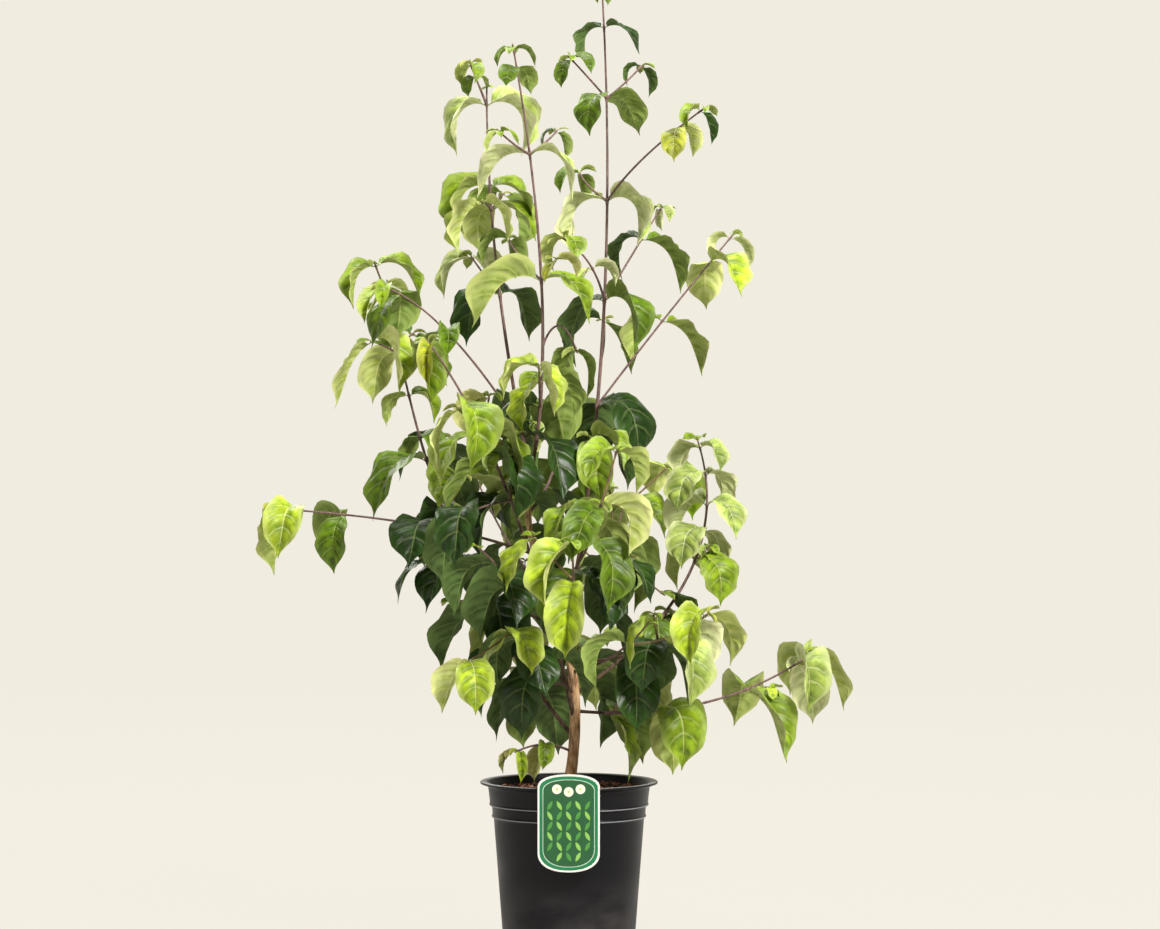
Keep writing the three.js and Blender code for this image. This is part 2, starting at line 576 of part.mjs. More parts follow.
// Leaves in opposite pairs along a shoot.
function growPairs(shoot) {
  const leaves = [];
  shoot.pairs.forEach((place, i) => {
    for (const side of [0, 1]) {
      const turn = pairTurn(shoot, i) + Math.PI * side;
      leaves.push(...growLeaf(shoot.curve, place, turn, shoot.leaf[i], shoot.seed + 2 * i + side, shoot.mass));
    }
  });
  return leaves;
}

// A short twig in the axil of a pair, kept only where it has room.
function growSpur(stem, place, i, seed) {
  const { point, along, first, second } = frameAt(stem.curve, place);
  const azimuth = pairTurn(stem, i) + (dice(seed, 1) < 0.5 ? 0 : Math.PI) + SPUR.aside;
  const radial = first.multiplyScalar(Math.cos(azimuth)).addScaledVector(second, Math.sin(azimuth));
  const away = along.multiplyScalar(Math.cos(SPUR.angle)).addScaledVector(radial, Math.sin(SPUR.angle));
  away.addScaledVector(UP, SPUR.lift);
  const reach = away.normalize().multiplyScalar(mix(SPUR.length, dice(seed, 2)));
  const curve = limbCurve(point, reach.toArray(), [0, 0, SPUR.sag]);
  const ends = SPUR.tests.map((t) => curve.getPoint(t));
  const limbs = grown.filter((other) => !other.leaf);
  const blocked = limbs.some((limb) => ends.some((end) => end.distanceTo(limb.point) < SPUR.clear));
  if (blocked || ends.some(nearPot)) return [];
  const leafSeed = seed + SPUR_LEAF_SEED;
  return [{ curve, at: place, pairs: [SPUR.pair], leaf: [SPUR.leaf], mass: stem.mass, seed: leafSeed }];
}

// Every stem of the plant: the main stem of each mass, its side shoots and its spurs
const stems = Object.entries(MASSES).map(([mass, size], index) => {
  const seed = SEED_STEP.mass * (index + 1);
  const curve = limbCurve(trunkCurve.getPoint(size.at), size.reach, size.bow);
  const main = { curve, mass, seed, pairs: size.pairs, leaf: size.leaf, turn: size.turn, turns: size.turns };
  const shoots = (size.shoots ?? []).map((shoot, i) => ({
    ...shoot, mass, seed: seed + SEED_STEP.shoot * (i + 1),
    curve: limbCurve(curve.getPoint(shoot.at), shoot.reach, shoot.bow),
  }));
  return { mass, size, main, shoots };
});
addLimbSamples(trunkCurve, 'trunk');
for (const { mass, main, shoots } of stems) {
  for (const limb of [main, ...shoots]) addLimbSamples(limb.curve, mass);
}
for (const stem of stems) {
  stem.size.pairs.forEach((place, i) => {
    const seed = stem.main.seed + SPUR_SEED + SEED_STEP.spur * i;
    if (dice(seed, 0) >= (stem.size.spurs ?? 0)) return;
    const spurs = growSpur(stem.main, place, i, seed);
    for (const spur of spurs) addLimbSamples(spur.curve, stem.mass);
    stem.shoots.push(...spurs);
  });
}

// Solids of the plant
makePot();
makeSoil();
makeLabel();
addNode('trunk', trunkSolid(0), BARK);

let taken = trunkSolid(GAP);
for (const { mass, size, main } of stems) {
  if (size.bare === 0) continue;
  const radiusAt = taper(size.radius);
  const steps = Math.max(LEAST_STEPS, Math.round(main.curve.getLength() * size.bare / STEP_LENGTH.bough));
  const bough = mainBody(rod(main.curve, 0, size.bare, radiusAt, BOUGH_SIDES, steps).subtract(taken));
  addNode(`${mass}_bough`, bough, BARK);
  taken = taken.add(rod(main.curve, 0, size.bare, radiusAt, BOUGH_SIDES, steps, GAP));
}

// The stem of a mass with its side shoots and spurs, three-sided, from its bough's end to its tips
function wood({ size, main, shoots }) {
  const radiusAt = taper(size.radius);
  const steps = (curve, share) => {
    return Math.max(LEAST_STEPS, Math.round(curve.getLength() * share / STEP_LENGTH.stem));
  };
  const start = size.bare === 0 ? 0 : size.bare + 2 * GAP / main.curve.getLength();
  let body = rod(main.curve, start, 1, radiusAt, STEM_SIDES, steps(main.curve, 1 - size.bare));
  for (const shoot of shoots) {
    const root = Math.max(LEAST_RADIUS, radiusAt(shoot.at) * SHOOT_SHARE);
    body = body.add(rod(shoot.curve, 0, 1, taper(root), STEM_SIDES, steps(shoot.curve, 1)));
  }
  return body.subtract(taken);
}

const bodies = stems.map((stem) => ({ stem, body: wood(stem) }));
for (const own of bodies) {
  const others = bodies.filter((other) => other !== own);
  for (const shoot of [own.stem.main, ...own.stem.shoots]) {
    for (const leaf of growPairs(shoot)) {
      const blade = leafSolid(leaf);
      const joined = own.body.add(blade);
      if (others.every((other) => apart(other.body, blade)) && isClosed(joined)) own.body = joined;
    }
  }
  addNode(`${own.stem.mass}_foliage`, mainBody(own.body.subtract(taken)), LEAF);
}

export default group;
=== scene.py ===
"""The looks of a young potted Chinese dogwood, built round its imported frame.

The plant grows here by the rule of its solids: leaves stand in opposite pairs, each pair a quarter
turn from the last, and every leaf rises from its twig, arches over and hangs. The rule is carried on
to finer twigs, which grow in the axils of the pairs, and to young leaves and buds at the tips.

Lengths are in millimetres and angles in degrees where nothing else is said, and a mesh is scaled to
metres when it is made. The origin is the centre of the pot's flat underside, and -Y faces the camera.
"""

import logging
import math
from dataclasses import dataclass, field
from enum import Enum, IntEnum
from typing import Callable, Iterable, Sequence

import bpy
import numpy as np
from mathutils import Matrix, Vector


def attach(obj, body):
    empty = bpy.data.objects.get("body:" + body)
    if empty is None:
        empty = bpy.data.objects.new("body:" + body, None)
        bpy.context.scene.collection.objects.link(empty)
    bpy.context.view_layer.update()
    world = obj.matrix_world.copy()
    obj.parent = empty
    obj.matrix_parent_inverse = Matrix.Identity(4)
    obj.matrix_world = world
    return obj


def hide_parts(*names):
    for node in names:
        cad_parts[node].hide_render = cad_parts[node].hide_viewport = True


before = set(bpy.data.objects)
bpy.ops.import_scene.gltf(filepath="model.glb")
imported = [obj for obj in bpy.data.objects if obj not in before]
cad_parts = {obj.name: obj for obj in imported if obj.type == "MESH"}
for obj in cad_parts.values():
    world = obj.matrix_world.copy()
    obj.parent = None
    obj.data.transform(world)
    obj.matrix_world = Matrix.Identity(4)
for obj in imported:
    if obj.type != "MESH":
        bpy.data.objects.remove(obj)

Array = np.ndarray
Triple = tuple[float, float, float]
Colour = tuple[float, float, float, float]

MM = 0.001
UP = np.array([0.0, 0.0, 1.0])
QUARTER = math.pi / 2

WORD = 0xFFFFFFFF
SEED_FACTOR, WHICH_FACTOR = 0x9E3779B1, 0x85EBCA6B
FOLDS = ((15, 0x2C1B3C6D), (12, 0x297A2D39))
LAST_FOLD = 15
NOISE_ROW = 997
NOISE_ROWS_BELOW = 100

log = logging.getLogger("dogwood")


# Numbers

def unit(vectors: Array) -> Array:
    """Vectors scaled to a length of one."""
    return vectors / np.linalg.norm(vectors, axis=-1, keepdims=True)


def mix(span: Sequence[float], share: float | Array) -> float | Array:
    """The value at a share of the way from the first to the second value of a span."""
    return span[0] + (span[1] - span[0]) * share


def eased(low: float, high: float, value: Array) -> Array:
    """0 below low, 1 above high, and the cubic 3x^2 - 2x^3 of the share between them."""
    share = np.clip((value - low) / (high - low), 0, 1)
    return share * share * (3 - 2 * share)


def dice(first: int | Array, second: int | Array) -> float | Array:
    """A seeded value from 0 to 1: two whole numbers, multiplied, folded and mixed as 32-bit words.

    Args:
        first: A seed, or an array of seeds.
        second: Which of the seed's values, or an array of them.

    Returns:
        The same value, or values, for the same numbers in every run.
    """
    a = np.asarray(first, np.uint64) + np.uint64(1)
    b = np.asarray(second, np.uint64) + np.uint64(1)
    word = ((a * np.uint64(SEED_FACTOR)) ^ (b * np.uint64(WHICH_FACTOR))) & np.uint64(WORD)
    for shift, factor in FOLDS:
        word = ((word ^ (word >> np.uint64(shift))) * np.uint64(factor)) & np.uint64(WORD)
    return (word ^ (word >> np.uint64(LAST_FOLD))).astype(float) / (WORD + 1)


def spread(seed: Array, which: int, low: float, high: float) -> Array:
    """A seeded value between low and high for each seed."""
    return low + (high - low) * dice(seed, which)


def value_noise(x: Array, y: Array, seed: int, period: int) -> Array:
    """Smooth noise from -1 to 1: dice at the four lattice points round a point, eased between them.

    Args:
        x: Places along the wrapped direction, in lattice steps.
        y: Places along the other direction, in lattice steps, above -100.
        seed: Which noise.
        period: The lattice steps after which x comes round again.

    Returns:
        The noise at each place.
    """
    column, row = np.floor(x), np.floor(y)
    across, up = (eased(0, 1, x - column), eased(0, 1, y - row))

    def corner(dx: int, dy: int) -> Array:
        """The dice of the lattice point that is dx and dy steps on."""
        return dice((column + dx) % period + NOISE_ROW * (row + dy + NOISE_ROWS_BELOW), seed)

    low = corner(0, 0) * (1 - across) + corner(1, 0) * across
    high = corner(0, 1) * (1 - across) + corner(1, 1) * across
    return 2 * (low * (1 - up) + high * up) - 1


# Surfaces

@dataclass
class Surface:
    """Points in millimetres with their faces, each face's finish and each corner's pattern place."""

    points: Array
    corners: Array
    sizes: Array
    places: Array
    finish: Array

    @staticmethod
    def joined(parts: Iterable["Surface"]) -> "Surface":
        """Several surfaces as one: the corners of each are shifted past the points before it."""
        parts = list(parts)
        shift = np.cumsum([0] + [len(part.points) for part in parts[:-1]])
        return Surface(
            np.concatenate([part.points for part in parts]),
            np.concatenate([part.corners + by for part, by in zip(parts, shift)]),
            np.concatenate([part.sizes for part in parts]),
            np.concatenate([part.places for part in parts]),
            np.concatenate([part.finish for part in parts]),
        )

    def volume(self) -> float:
        """The signed volume: a sixth of a · (b x c), summed over the fan of triangles of each face."""
        start = np.cumsum(self.sizes) - self.sizes
        a, b, c = (self.points[self.corners[start + k]] for k in range(3))
        total = np.einsum("ij,ij->i", a, np.cross(b, c)).sum()
        four = start[self.sizes == 4]
        a, c, d = (self.points[self.corners[four + k]] for k in (0, 2, 3))
        return float(total + np.einsum("ij,ij->i", a, np.cross(c, d)).sum()) / 6

    def outward(self) -> "Surface":
        """The surface with its faces pointing out: turned round where the volume is negative."""
        if self.volume() > 0:
            return self
        start = np.cumsum(self.sizes) - self.sizes
        face = np.repeat(np.arange(len(self.sizes)), self.sizes)
        place = np.arange(len(self.corners)) - start[face]
        back = start[face] + self.sizes[face] - 1 - place
        return Surface(self.points, self.corners[back], self.sizes, self.places[back], self.finish)


def repeated(faces: Array, count: int, stride: int) -> Array:
    """The corners of one shape's faces for a number of copies, whose points follow each other."""
    return (np.arange(count)[:, None, None] * stride + faces[None]).reshape(-1)


def skins(grid: Array, poles: Array) -> Surface:
    """Closed skins: rows of points that wrap round, and a pole that closes either end.

    A four-sided face joins rows r and r + 1 between columns c and c + 1, and a triangle joins two
    columns of an end row to its pole. The pattern place is the turn round and the share of the rows.

    Args:
        grid: The points, as skins, rows, columns and coordinates.
        poles: The first and the last pole of each skin.

    Returns:
        All the skins as one surface.
    """
    count, rows, columns, _ = grid.shape
    column = np.arange(columns)
    after = (column + 1) % columns
    row = np.arange(rows - 1)[:, None]
    base = 2 + columns * row
    quads = np.stack([base + column, base + after, base + columns + after, base + columns + column], -1)
    quads = quads.reshape(-1, 4)
    last = 2 + columns * (rows - 1)
    low = np.stack([np.zeros_like(column), 2 + after, 2 + column], -1)
    high = np.stack([np.ones_like(column), last + column, last + after], -1)
    fans = np.concatenate([low, high])
    turn, up = np.stack([column, column + 1, column + 1, column], -1) / columns, np.array([0, 0, 1, 1])
    quad_places = np.stack(np.broadcast_arrays(turn[None], (row[..., None] + up) / max(1, rows - 1)), -1)
    quad_places = quad_places.reshape(-1, 2)
    fan_turn = np.stack([column + 0.5, column + 1, column], -1) / columns
    fan_places = np.concatenate([
        np.stack([fan_turn, np.zeros_like(fan_turn)], -1),
        np.stack([fan_turn[:, [0, 2, 1]], np.ones_like(fan_turn)], -1),
    ]).reshape(-1, 2)
    stride = 2 + rows * columns
    points = np.concatenate([poles, grid.reshape(count, -1, 3)], axis=1).reshape(-1, 3)
    return Surface(
        points,
        np.concatenate([repeated(quads, count, stride), repeated(fans, count, stride)]),
        np.concatenate([np.full(count * len(quads), 4), np.full(count * len(fans), 3)]),
        np.concatenate([np.tile(quad_places, (count, 1)), np.tile(fan_places, (count, 1))]),
        np.zeros(count * (len(quads) + len(fans)), int),
    )


def turned(profile: Sequence[tuple[float, float]], sides: int) -> Surface:
    """A profile of radius and height turned round the Z axis: (r cos a, r sin a, z).

    Args:
        profile: The points from the axis below, up the outside, and back to the axis.
        sides: The steps of a full turn.

    Returns:
        The closed surface.
    """
    radius, height = np.array(profile[1:-1], float).T
    angle = np.arange(sides) * 2 * math.pi / sides
    grid = np.stack(np.broadcast_arrays(
        radius[:, None] * np.cos(angle), radius[:, None] * np.sin(angle), height[:, None]), -1)
    poles = np.array([[0, 0, profile[0][1]], [0, 0, profile[-1][1]]], float)
    return skins(grid[None], poles[None])


def rounded(corners: Sequence[tuple[float, float, float]], steps: int = 5) -> list[tuple[float, float]]:
    """A profile whose corners are arcs, each the quadratic curve between two points beside the corner.

    Args:
        corners: Radius, height and the size of the rounding at each corner.
        steps: The points of each arc.

    Returns:
        The profile as radius and height.
    """
    places = np.array([corner[:2] for corner in corners], float)
    profile = []
    for i, (_, _, size) in enumerate(corners):
        here = places[i]
        if size == 0 or i in (0, len(corners) - 1):
            profile.append(tuple(here))
            continue
        towards = [unit(places[j] - here) * size for j in (i - 1, i + 1)]
        share = np.linspace(0, 1, steps)[:, None]
        arc = (1 - share) ** 2 * (here + towards[0]) + 2 * share * (1 - share) * here
        profile.extend(map(tuple, arc + share ** 2 * (here + towards[1])))
    return profile


def plate(outline: Array, front: float, back: float, bevel: float) -> Surface:
    """A flat plate that faces the camera: its outline drawn in by a bevel in front, full behind.

    Args:
        outline: The points of the outline, as X and Z.
        front: Y of the front face.
        back: Y of the back face.
        bevel: The bevel's depth and width.

    Returns:
        The closed plate, with a pole in the middle of either face.
    """
    middle = outline.mean(0)
    inner = outline - unit(outline - middle) * bevel
    rows = ((inner, front), (outline, front + bevel), (outline, back))
    grid = np.stack([np.stack([x, np.full(len(x), y), z], -1) for (x, z), y in
                     ((points.T, y) for points, y in rows)])
    poles = np.array([[middle[0], front, middle[1]], [middle[0], back, middle[1]]])
    return skins(grid[None], poles[None]).outward()


# Shading

class Value:
    """A socket of a shader that arithmetic works on."""

    def __init__(self, shader: "Shader", socket: bpy.types.NodeSocket) -> None:
        """Wraps an output socket of a shader."""
        self.shader = shader
        self.socket = socket

    def _math(self, operation: str, first: "Value | float", second: "Value | float") -> "Value":
        """A Math node on two values."""
        return self.shader.node("Math", {"operation": operation}, {0: first, 1: second})

    def __add__(self, other: "Value | float") -> "Value":
        """The sum."""
        return self._math("ADD", self, other)

    __radd__ = __add__

    def __sub__(self, other: "Value | float") -> "Value":
        """The difference."""
        return self._math("SUBTRACT", self, other)

    def __rsub__(self, other: float) -> "Value":
        """The difference, the other way round."""
        return self._math("SUBTRACT", other, self)

    def __mul__(self, other: "Value | float") -> "Value":
        """The product."""
        return self._math("MULTIPLY", self, other)

    __rmul__ = __mul__

    def __abs__(self) -> "Value":
        """The value without its sign."""
        return self._math("ABSOLUTE", self, 0.0)

    def fraction(self) -> "Value":
        """What is left after the whole number."""
        return self._math("FRACT", self, 0.0)

    def band(self, low: float, high: float) -> "Value":
        """0 at low and below, 1 at high and above, eased between; high may be less than low."""
        return self.shader.node(
            "MapRange", {"interpolation_type": "SMOOTHSTEP"}, {"Value": self, 1: low, 2: high})


def linear(code: str, gain: float = 1.0) -> Colour:
    """A colour written as six hexadecimal digits, as linear light times a gain.

    By the usual curve of screens a part c gives ((c + 0.055) / 1.055)^2.4, or c / 12.92 where it's dark.
    """
    parts = [int(code[i:i + 2], 16) / 255 for i in (0, 2, 4)]
    light = [((part + 0.055) / 1.055) ** 2.4 if part > 0.04 else part / 12.92 for part in parts]
    return (*(min(1.0, part * gain) for part in light), 1.0)


class Shader:
    """A material under construction, with its one Principled shader."""

    def __init__(self, name: str, **fixed: float | Colour) -> None:
        """Starts a material.

        Args:
            name: The material's name.
            fixed: Values of the shader's own sockets that are the same all over.
        """
        self.material = bpy.data.materials.new(name)
        self.material.use_nodes = True
        self.tree = self.material.node_tree
        self.principled = self.tree.nodes["Principled BSDF"]
        for key, value in fixed.items():
            self.feed(self.principled.inputs[key.replace("_", " ")], value)

    def feed(self, socket: bpy.types.NodeSocket, value: "Value | float | Colour") -> None:
        """Links a value to a socket, or sets the socket's own value."""
        if isinstance(value, Value):
            self.tree.links.new(value.socket, socket)
        else:
            socket.default_value = value

    def node(self, kind: str, settings: dict | None = None, inputs: dict | None = None,
             output: int | str = 0) -> Value:
        """Adds a node.

        Args:
            kind: The node's type, without the words ShaderNode.
            settings: Its properties, set before its sockets.
            inputs: Values or links by socket name or number.
            output: Which of its outputs is wanted.

        Returns:
            That output.
        """
        node = self.tree.nodes.new("ShaderNode" + kind)
        for name, value in (settings or {}).items():
            setattr(node, name, value)
        for key, value in (inputs or {}).items():
            self.feed(node.inputs[key], value)
        return Value(self, node.outputs[output])

    def places(self) -> Value:
        """Object coordinates, which are metres in the frame."""
        return self.node("TexCoord", output="Object")

    def stretched(self, scale: Triple) -> Value:
        """Object coordinates scaled along each axis."""
        return self.node("Mapping", {"vector_type": "POINT"}, {"Vector": self.places(), "Scale": scale})

    def noise(self, scale: float, detail: float = 2.0, at: Value | None = None) -> Value:
        """Noise from 0 to 1 at places on the piece."""
        return self.node("TexNoise", {"noise_dimensions": "3D"}, {
            "Vector": at or self.places(), "Scale": scale, "Detail": detail})

    def blend(self, first: Value | Colour, second: Value | Colour, share: Value | float) -> Value:
        """Two colours mixed by a share of the second."""
        return self.node("Mix", {"data_type": "RGBA"}, {0: share, 6: first, 7: second}, output=2)

    def coated(self, ground: Value, *coats: tuple[Colour, Value]) -> Value:
        """A ground under coats, each a colour and the share of the surface that it covers."""
        for colour, share in coats:
            ground = self.blend(ground, colour, share)
        return ground

    def finish(self, colour: Value | Colour, roughness: Value | float,
               height: Value | None = None, depth: float = 0.0) -> bpy.types.Material:
        """Feeds the shader and gives back the material.

        Args:
            colour: The base colour.
            roughness: The roughness.
            height: The relief's height from 0 to 1.
            depth: The relief's depth in metres.

        Returns:
            The finished material.
        """
        self.feed(self.principled.inputs["Base Color"], colour)
        self.feed(self.principled.inputs["Roughness"], roughness)
        if height is not None:
            bump = self.node("Bump", None, {"Height": height, "Distance": depth})
            self.feed(self.principled.inputs["Normal"], bump)
        return self.material


@dataclass(frozen=True)
class VeinPattern:
    """Where veins, hollows and the rim lie on a leaf's pattern map, each as a band of distances.

    The map's first axis runs across the blade with the midrib at 0.5, and side veins stand at each
    sixth of the second, because the rows of the leaf's mesh follow them.
    """

    cells: float = 6.0
    midrib: tuple[float, float] = (0.03, 0.01)
    vein: tuple[float, float] = (0.13, 0.02)
    vein_reach: tuple[float, float] = (0.5, 0.2)
    hollow: tuple[float, float] = (0.46, 0.08)
    hollow_reach: tuple[float, float] = (0.5, 0.12)
    base: tuple[float, float] = (0.06, 0.16)
    tip: tuple[float, float] = (0.88, 0.76)
    rim: tuple[float, float] = (0.3, 0.5)

    def masks(self, shader: Shader) -> tuple[Value, Value, Value, Value]:
        """Masks of the midrib, the side veins, the hollows along them, which carry painted shade, and the
        leaf's rim.
        """
        place = shader.node("UVMap", {"uv_map": "leaf"})
        across, along = (shader.node("SeparateXYZ", None, {0: place}, output=k) for k in (0, 1))
        from_midrib = abs(across - 0.5)
        from_vein = abs((along * self.cells + 0.5).fraction() - 0.5)
        near_base = along.band(*self.base)
        vein = from_vein.band(*self.vein) * from_midrib.band(*self.vein_reach) * near_base
        hollow = from_vein.band(*self.hollow) * from_midrib.band(*self.hollow_reach) * near_base
        return (from_midrib.band(*self.midrib), vein * along.band(*self.tip), hollow,
                from_midrib.band(*self.rim))


@dataclass(frozen=True)
class BladeSide:
    """One side of a blade: the scale and detail of its noises, its gains and its coats' shares."""

    shine: float
    mottle: tuple[float, float]
    gains: tuple[float, float]
    patches: tuple[float, float]
    patch_band: tuple[float, float]
    hollow: tuple[float, float]
    patch: float
    vein: float
    midrib: float
    cells: tuple[float, float]
    grain: float
    depth: float
    mottle_band: tuple[float, float] = (0.32, 0.68)
    vein_height: float = 0.5
    midrib_height: float = 0.8

    def ground(self, shader: Shader, code: str) -> Value:
        """A colour mottled between a darker and a lighter gain."""
        darker, lighter = (linear(code, gain) for gain in self.gains)
        return shader.blend(darker, lighter, shader.noise(*self.mottle).band(*self.mottle_band))

    def patch_mask(self, shader: Shader) -> Value:
        """A mask of irregular patches."""
        return shader.noise(*self.patches).band(*self.patch_band)


VEINS = VeinPattern()
UPPER_SIDE = BladeSide(
    shine=0.24, mottle=(30.0, 3.0), gains=(0.72, 1.55), patches=(75.0, 4.0), patch_band=(0.4, 0.62),
    hollow=(0.3, 0.55), patch=0.36, vein=0.27, midrib=0.45, cells=(800.0, 2.0), grain=0.12, depth=0.0008)
UNDERSIDE = BladeSide(
    shine=0.2, mottle=(38.0, 2.0), gains=(0.78, 1.2), patches=(80.0, 4.0), patch_band=(0.4, 0.64),
    hollow=(0.42, 0.3), patch=0.3, vein=0.3, midrib=0.55, cells=(650.0, 1.0), grain=0.15, depth=0.0004)


@dataclass(frozen=True)
class LeafFinish:
    """The two sides of a leaf of one age and place in the light, whose colours partly paint that light;
    shade is a darker green of painted shade in the hollows, also used for darker patches.
    """

    name: str
    upper: str
    vein: str
    under: str
    shade: str
    edge: float
    roughness: float
    roughness_play: float = 0.16
    roughness_below: float = 0.62
    raised_vein: float = 1.05
    raised_midrib: float = 1.15

    def above(self) -> bpy.types.Material:
        """The upper side: painted shade in the hollows beside the veins, darker patches, a paler rim, and
        sunken veins.
        """
        side = UPPER_SIDE
        shader = Shader(f"leaf_{self.name}_upper", Specular_IOR_Level=side.shine)
        midrib, vein, hollow, rim = VEINS.masks(shader)
        patches = side.patch_mask(shader)
        colour = shader.coated(
            side.ground(shader, self.upper),
            # Painted shade: the hollows beside the sunken veins are darkened towards the shade colour.
            (linear(self.shade), hollow * (side.hollow[0] + side.hollow[1] * patches)),
            (linear(self.shade), patches * side.patch),
            (linear(self.under), rim * self.edge),
            (linear(self.vein), vein * side.vein),
            (linear(self.vein), midrib * side.midrib))
        cells = shader.noise(*side.cells)
        height = side.grain * cells - side.vein_height * vein - side.midrib_height * midrib + 1.0
        roughness = self.roughness + self.roughness_play * (cells - 0.5)
        return shader.finish(colour, roughness, height, side.depth)

    def below(self) -> bpy.types.Material:
        """The underside: duller, with painted shade in its green hollows, a pale rim and raised veins."""
        side = UNDERSIDE
        shader = Shader(f"leaf_{self.name}_under", Specular_IOR_Level=side.shine)
        midrib, vein, hollow, rim = VEINS.masks(shader)
        patches = side.patch_mask(shader)
        colour = shader.coated(
            side.ground(shader, self.under),
            # Painted shade: the hollows are darkened towards the upper colour, and in patches towards the
            # shade colour.
            (linear(self.upper), hollow * (side.hollow[0] + side.hollow[1] * patches)),
            (linear(self.shade), hollow * patches * side.patch),
            (linear(self.vein, self.raised_midrib), rim * self.edge),
            (linear(self.vein, self.raised_vein), vein * side.vein),
            (linear(self.vein, self.raised_midrib), midrib * side.midrib))
        cells = shader.noise(*side.cells)
        height = side.grain * cells + side.vein_height * vein + side.midrib_height * midrib
        return shader.finish(colour, self.roughness_below, height, side.depth)


class Tone(Enum):
    """Leaf colours, from old leaves to young ones, and a pale dull one, partly painted light: the darker
    tones paint shade on leaves inside the crown and the brighter ones sunlight on leaves at its outside.
    """

    DEEP = "D"
    MID = "M"
    FRESH = "F"
    LIME = "L"
    GOLD = "G"
    PALE = "P"


# The finishes are partly painted light: deep paints the shade inside the crown, and the brighter ones paint
# sunlight on leaves at the outside.
LEAF_FINISHES = {
    Tone.DEEP: LeafFinish("deep", "243e10", "7a8c50", "566c38", "122206", 0.14, 0.35),
    Tone.MID: LeafFinish("mid", "577112", "a4b062", "889c50", "263c0a", 0.32, 0.37),
    Tone.FRESH: LeafFinish("fresh", "7a921c", "c8cc80", "a9b668", "3e5a08", 0.45, 0.38),
    Tone.LIME: LeafFinish("lime", "a2b62a", "e2e29c", "c4cc82", "587610", 0.5, 0.4),
    Tone.GOLD: LeafFinish("gold", "94982a", "d8d694", "bcbe76", "5e7014", 0.5, 0.42),
    Tone.PALE: LeafFinish("pale", "a0b156", "eaeabc", "d0d59e", "5a722c", 0.6, 0.44),
}
OLD_TONES = "DM"
LADDER = "DMFLG"
TONE_SHIFTS = (0.1, 0.9)


@dataclass(frozen=True)
class BarkFinish:
    """Bark in two colours with dark patches, drawn out along the upright limbs."""

    name: str
    light: str
    dark: str
    patch: str
    grain: float
    depth: float
    roughness: float
    shine: float = 0.3
    streak_squash: float = 0.16
    streak_band: tuple[float, float] = (0.38, 0.66)
    streak_height: float = 0.7
    blotch_scale: float = 0.22
    blotch_squash: float = 0.45
    blotch_band: tuple[float, float] = (0.52, 0.68)
    blotch_share: float = 0.75
    pore_scale: float = 2.2
    pore_height: float = 0.3
    roughness_play: float = 0.2

    def material(self) -> bpy.types.Material:
        """Streaks of noise drawn out along Z, patches of a third colour, and pores."""
        shader = Shader(self.name, Specular_IOR_Level=self.shine)
        streaks = shader.noise(self.grain, 4.0, shader.stretched((1.0, 1.0, self.streak_squash)))
        blotches = shader.noise(self.grain * self.blotch_scale, 3.0,
                                shader.stretched((1.0, 1.0, self.blotch_squash)))
        colour = shader.blend(linear(self.light), linear(self.dark), streaks.band(*self.streak_band))
        patches = blotches.band(*self.blotch_band) * self.blotch_share
        colour = shader.blend(colour, linear(self.patch), patches)
        height = streaks * self.streak_height
        height = height + shader.noise(self.grain * self.pore_scale, 2.0) * self.pore_height
        roughness = self.roughness + self.roughness_play * (streaks - 0.5)
        return shader.finish(colour, roughness, height, self.depth)


@dataclass(frozen=True)
class PlainFinish:
    """A moulded or printed surface: one colour with a faint mottle and a fine grain."""

    name: str
    colour: str
    roughness: float
    mottle: float = 0.12
    scale: float = 30.0
    grain: float = 900.0
    depth: float = 0.00006
    shine: float = 0.5
    mottle_band: tuple[float, float] = (0.3, 0.7)
    roughness_play: tuple[float, float] = (0.16, 0.1)

    def material(self) -> bpy.types.Material:
        """The colour made a little lighter and darker by noise, under a fine moulded grain."""
        shader = Shader(self.name, Specular_IOR_Level=self.shine)
        wide = shader.noise(self.scale, 4.0).band(*self.mottle_band)
        low, high = linear(self.colour, 1 - self.mottle), linear(self.colour, 1 + self.mottle)
        grain = shader.noise(self.grain, 2.0)
        wide_play, grain_play = self.roughness_play
        roughness = self.roughness + wide_play * (wide - 0.5) + grain_play * (grain - 0.5)
        return shader.finish(shader.blend(low, high, wide), roughness, grain, self.depth)


# Pieces

FOLIAGE = sorted(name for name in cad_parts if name.endswith("_foliage"))
BOUGHS = sorted(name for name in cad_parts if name.endswith("_bough"))


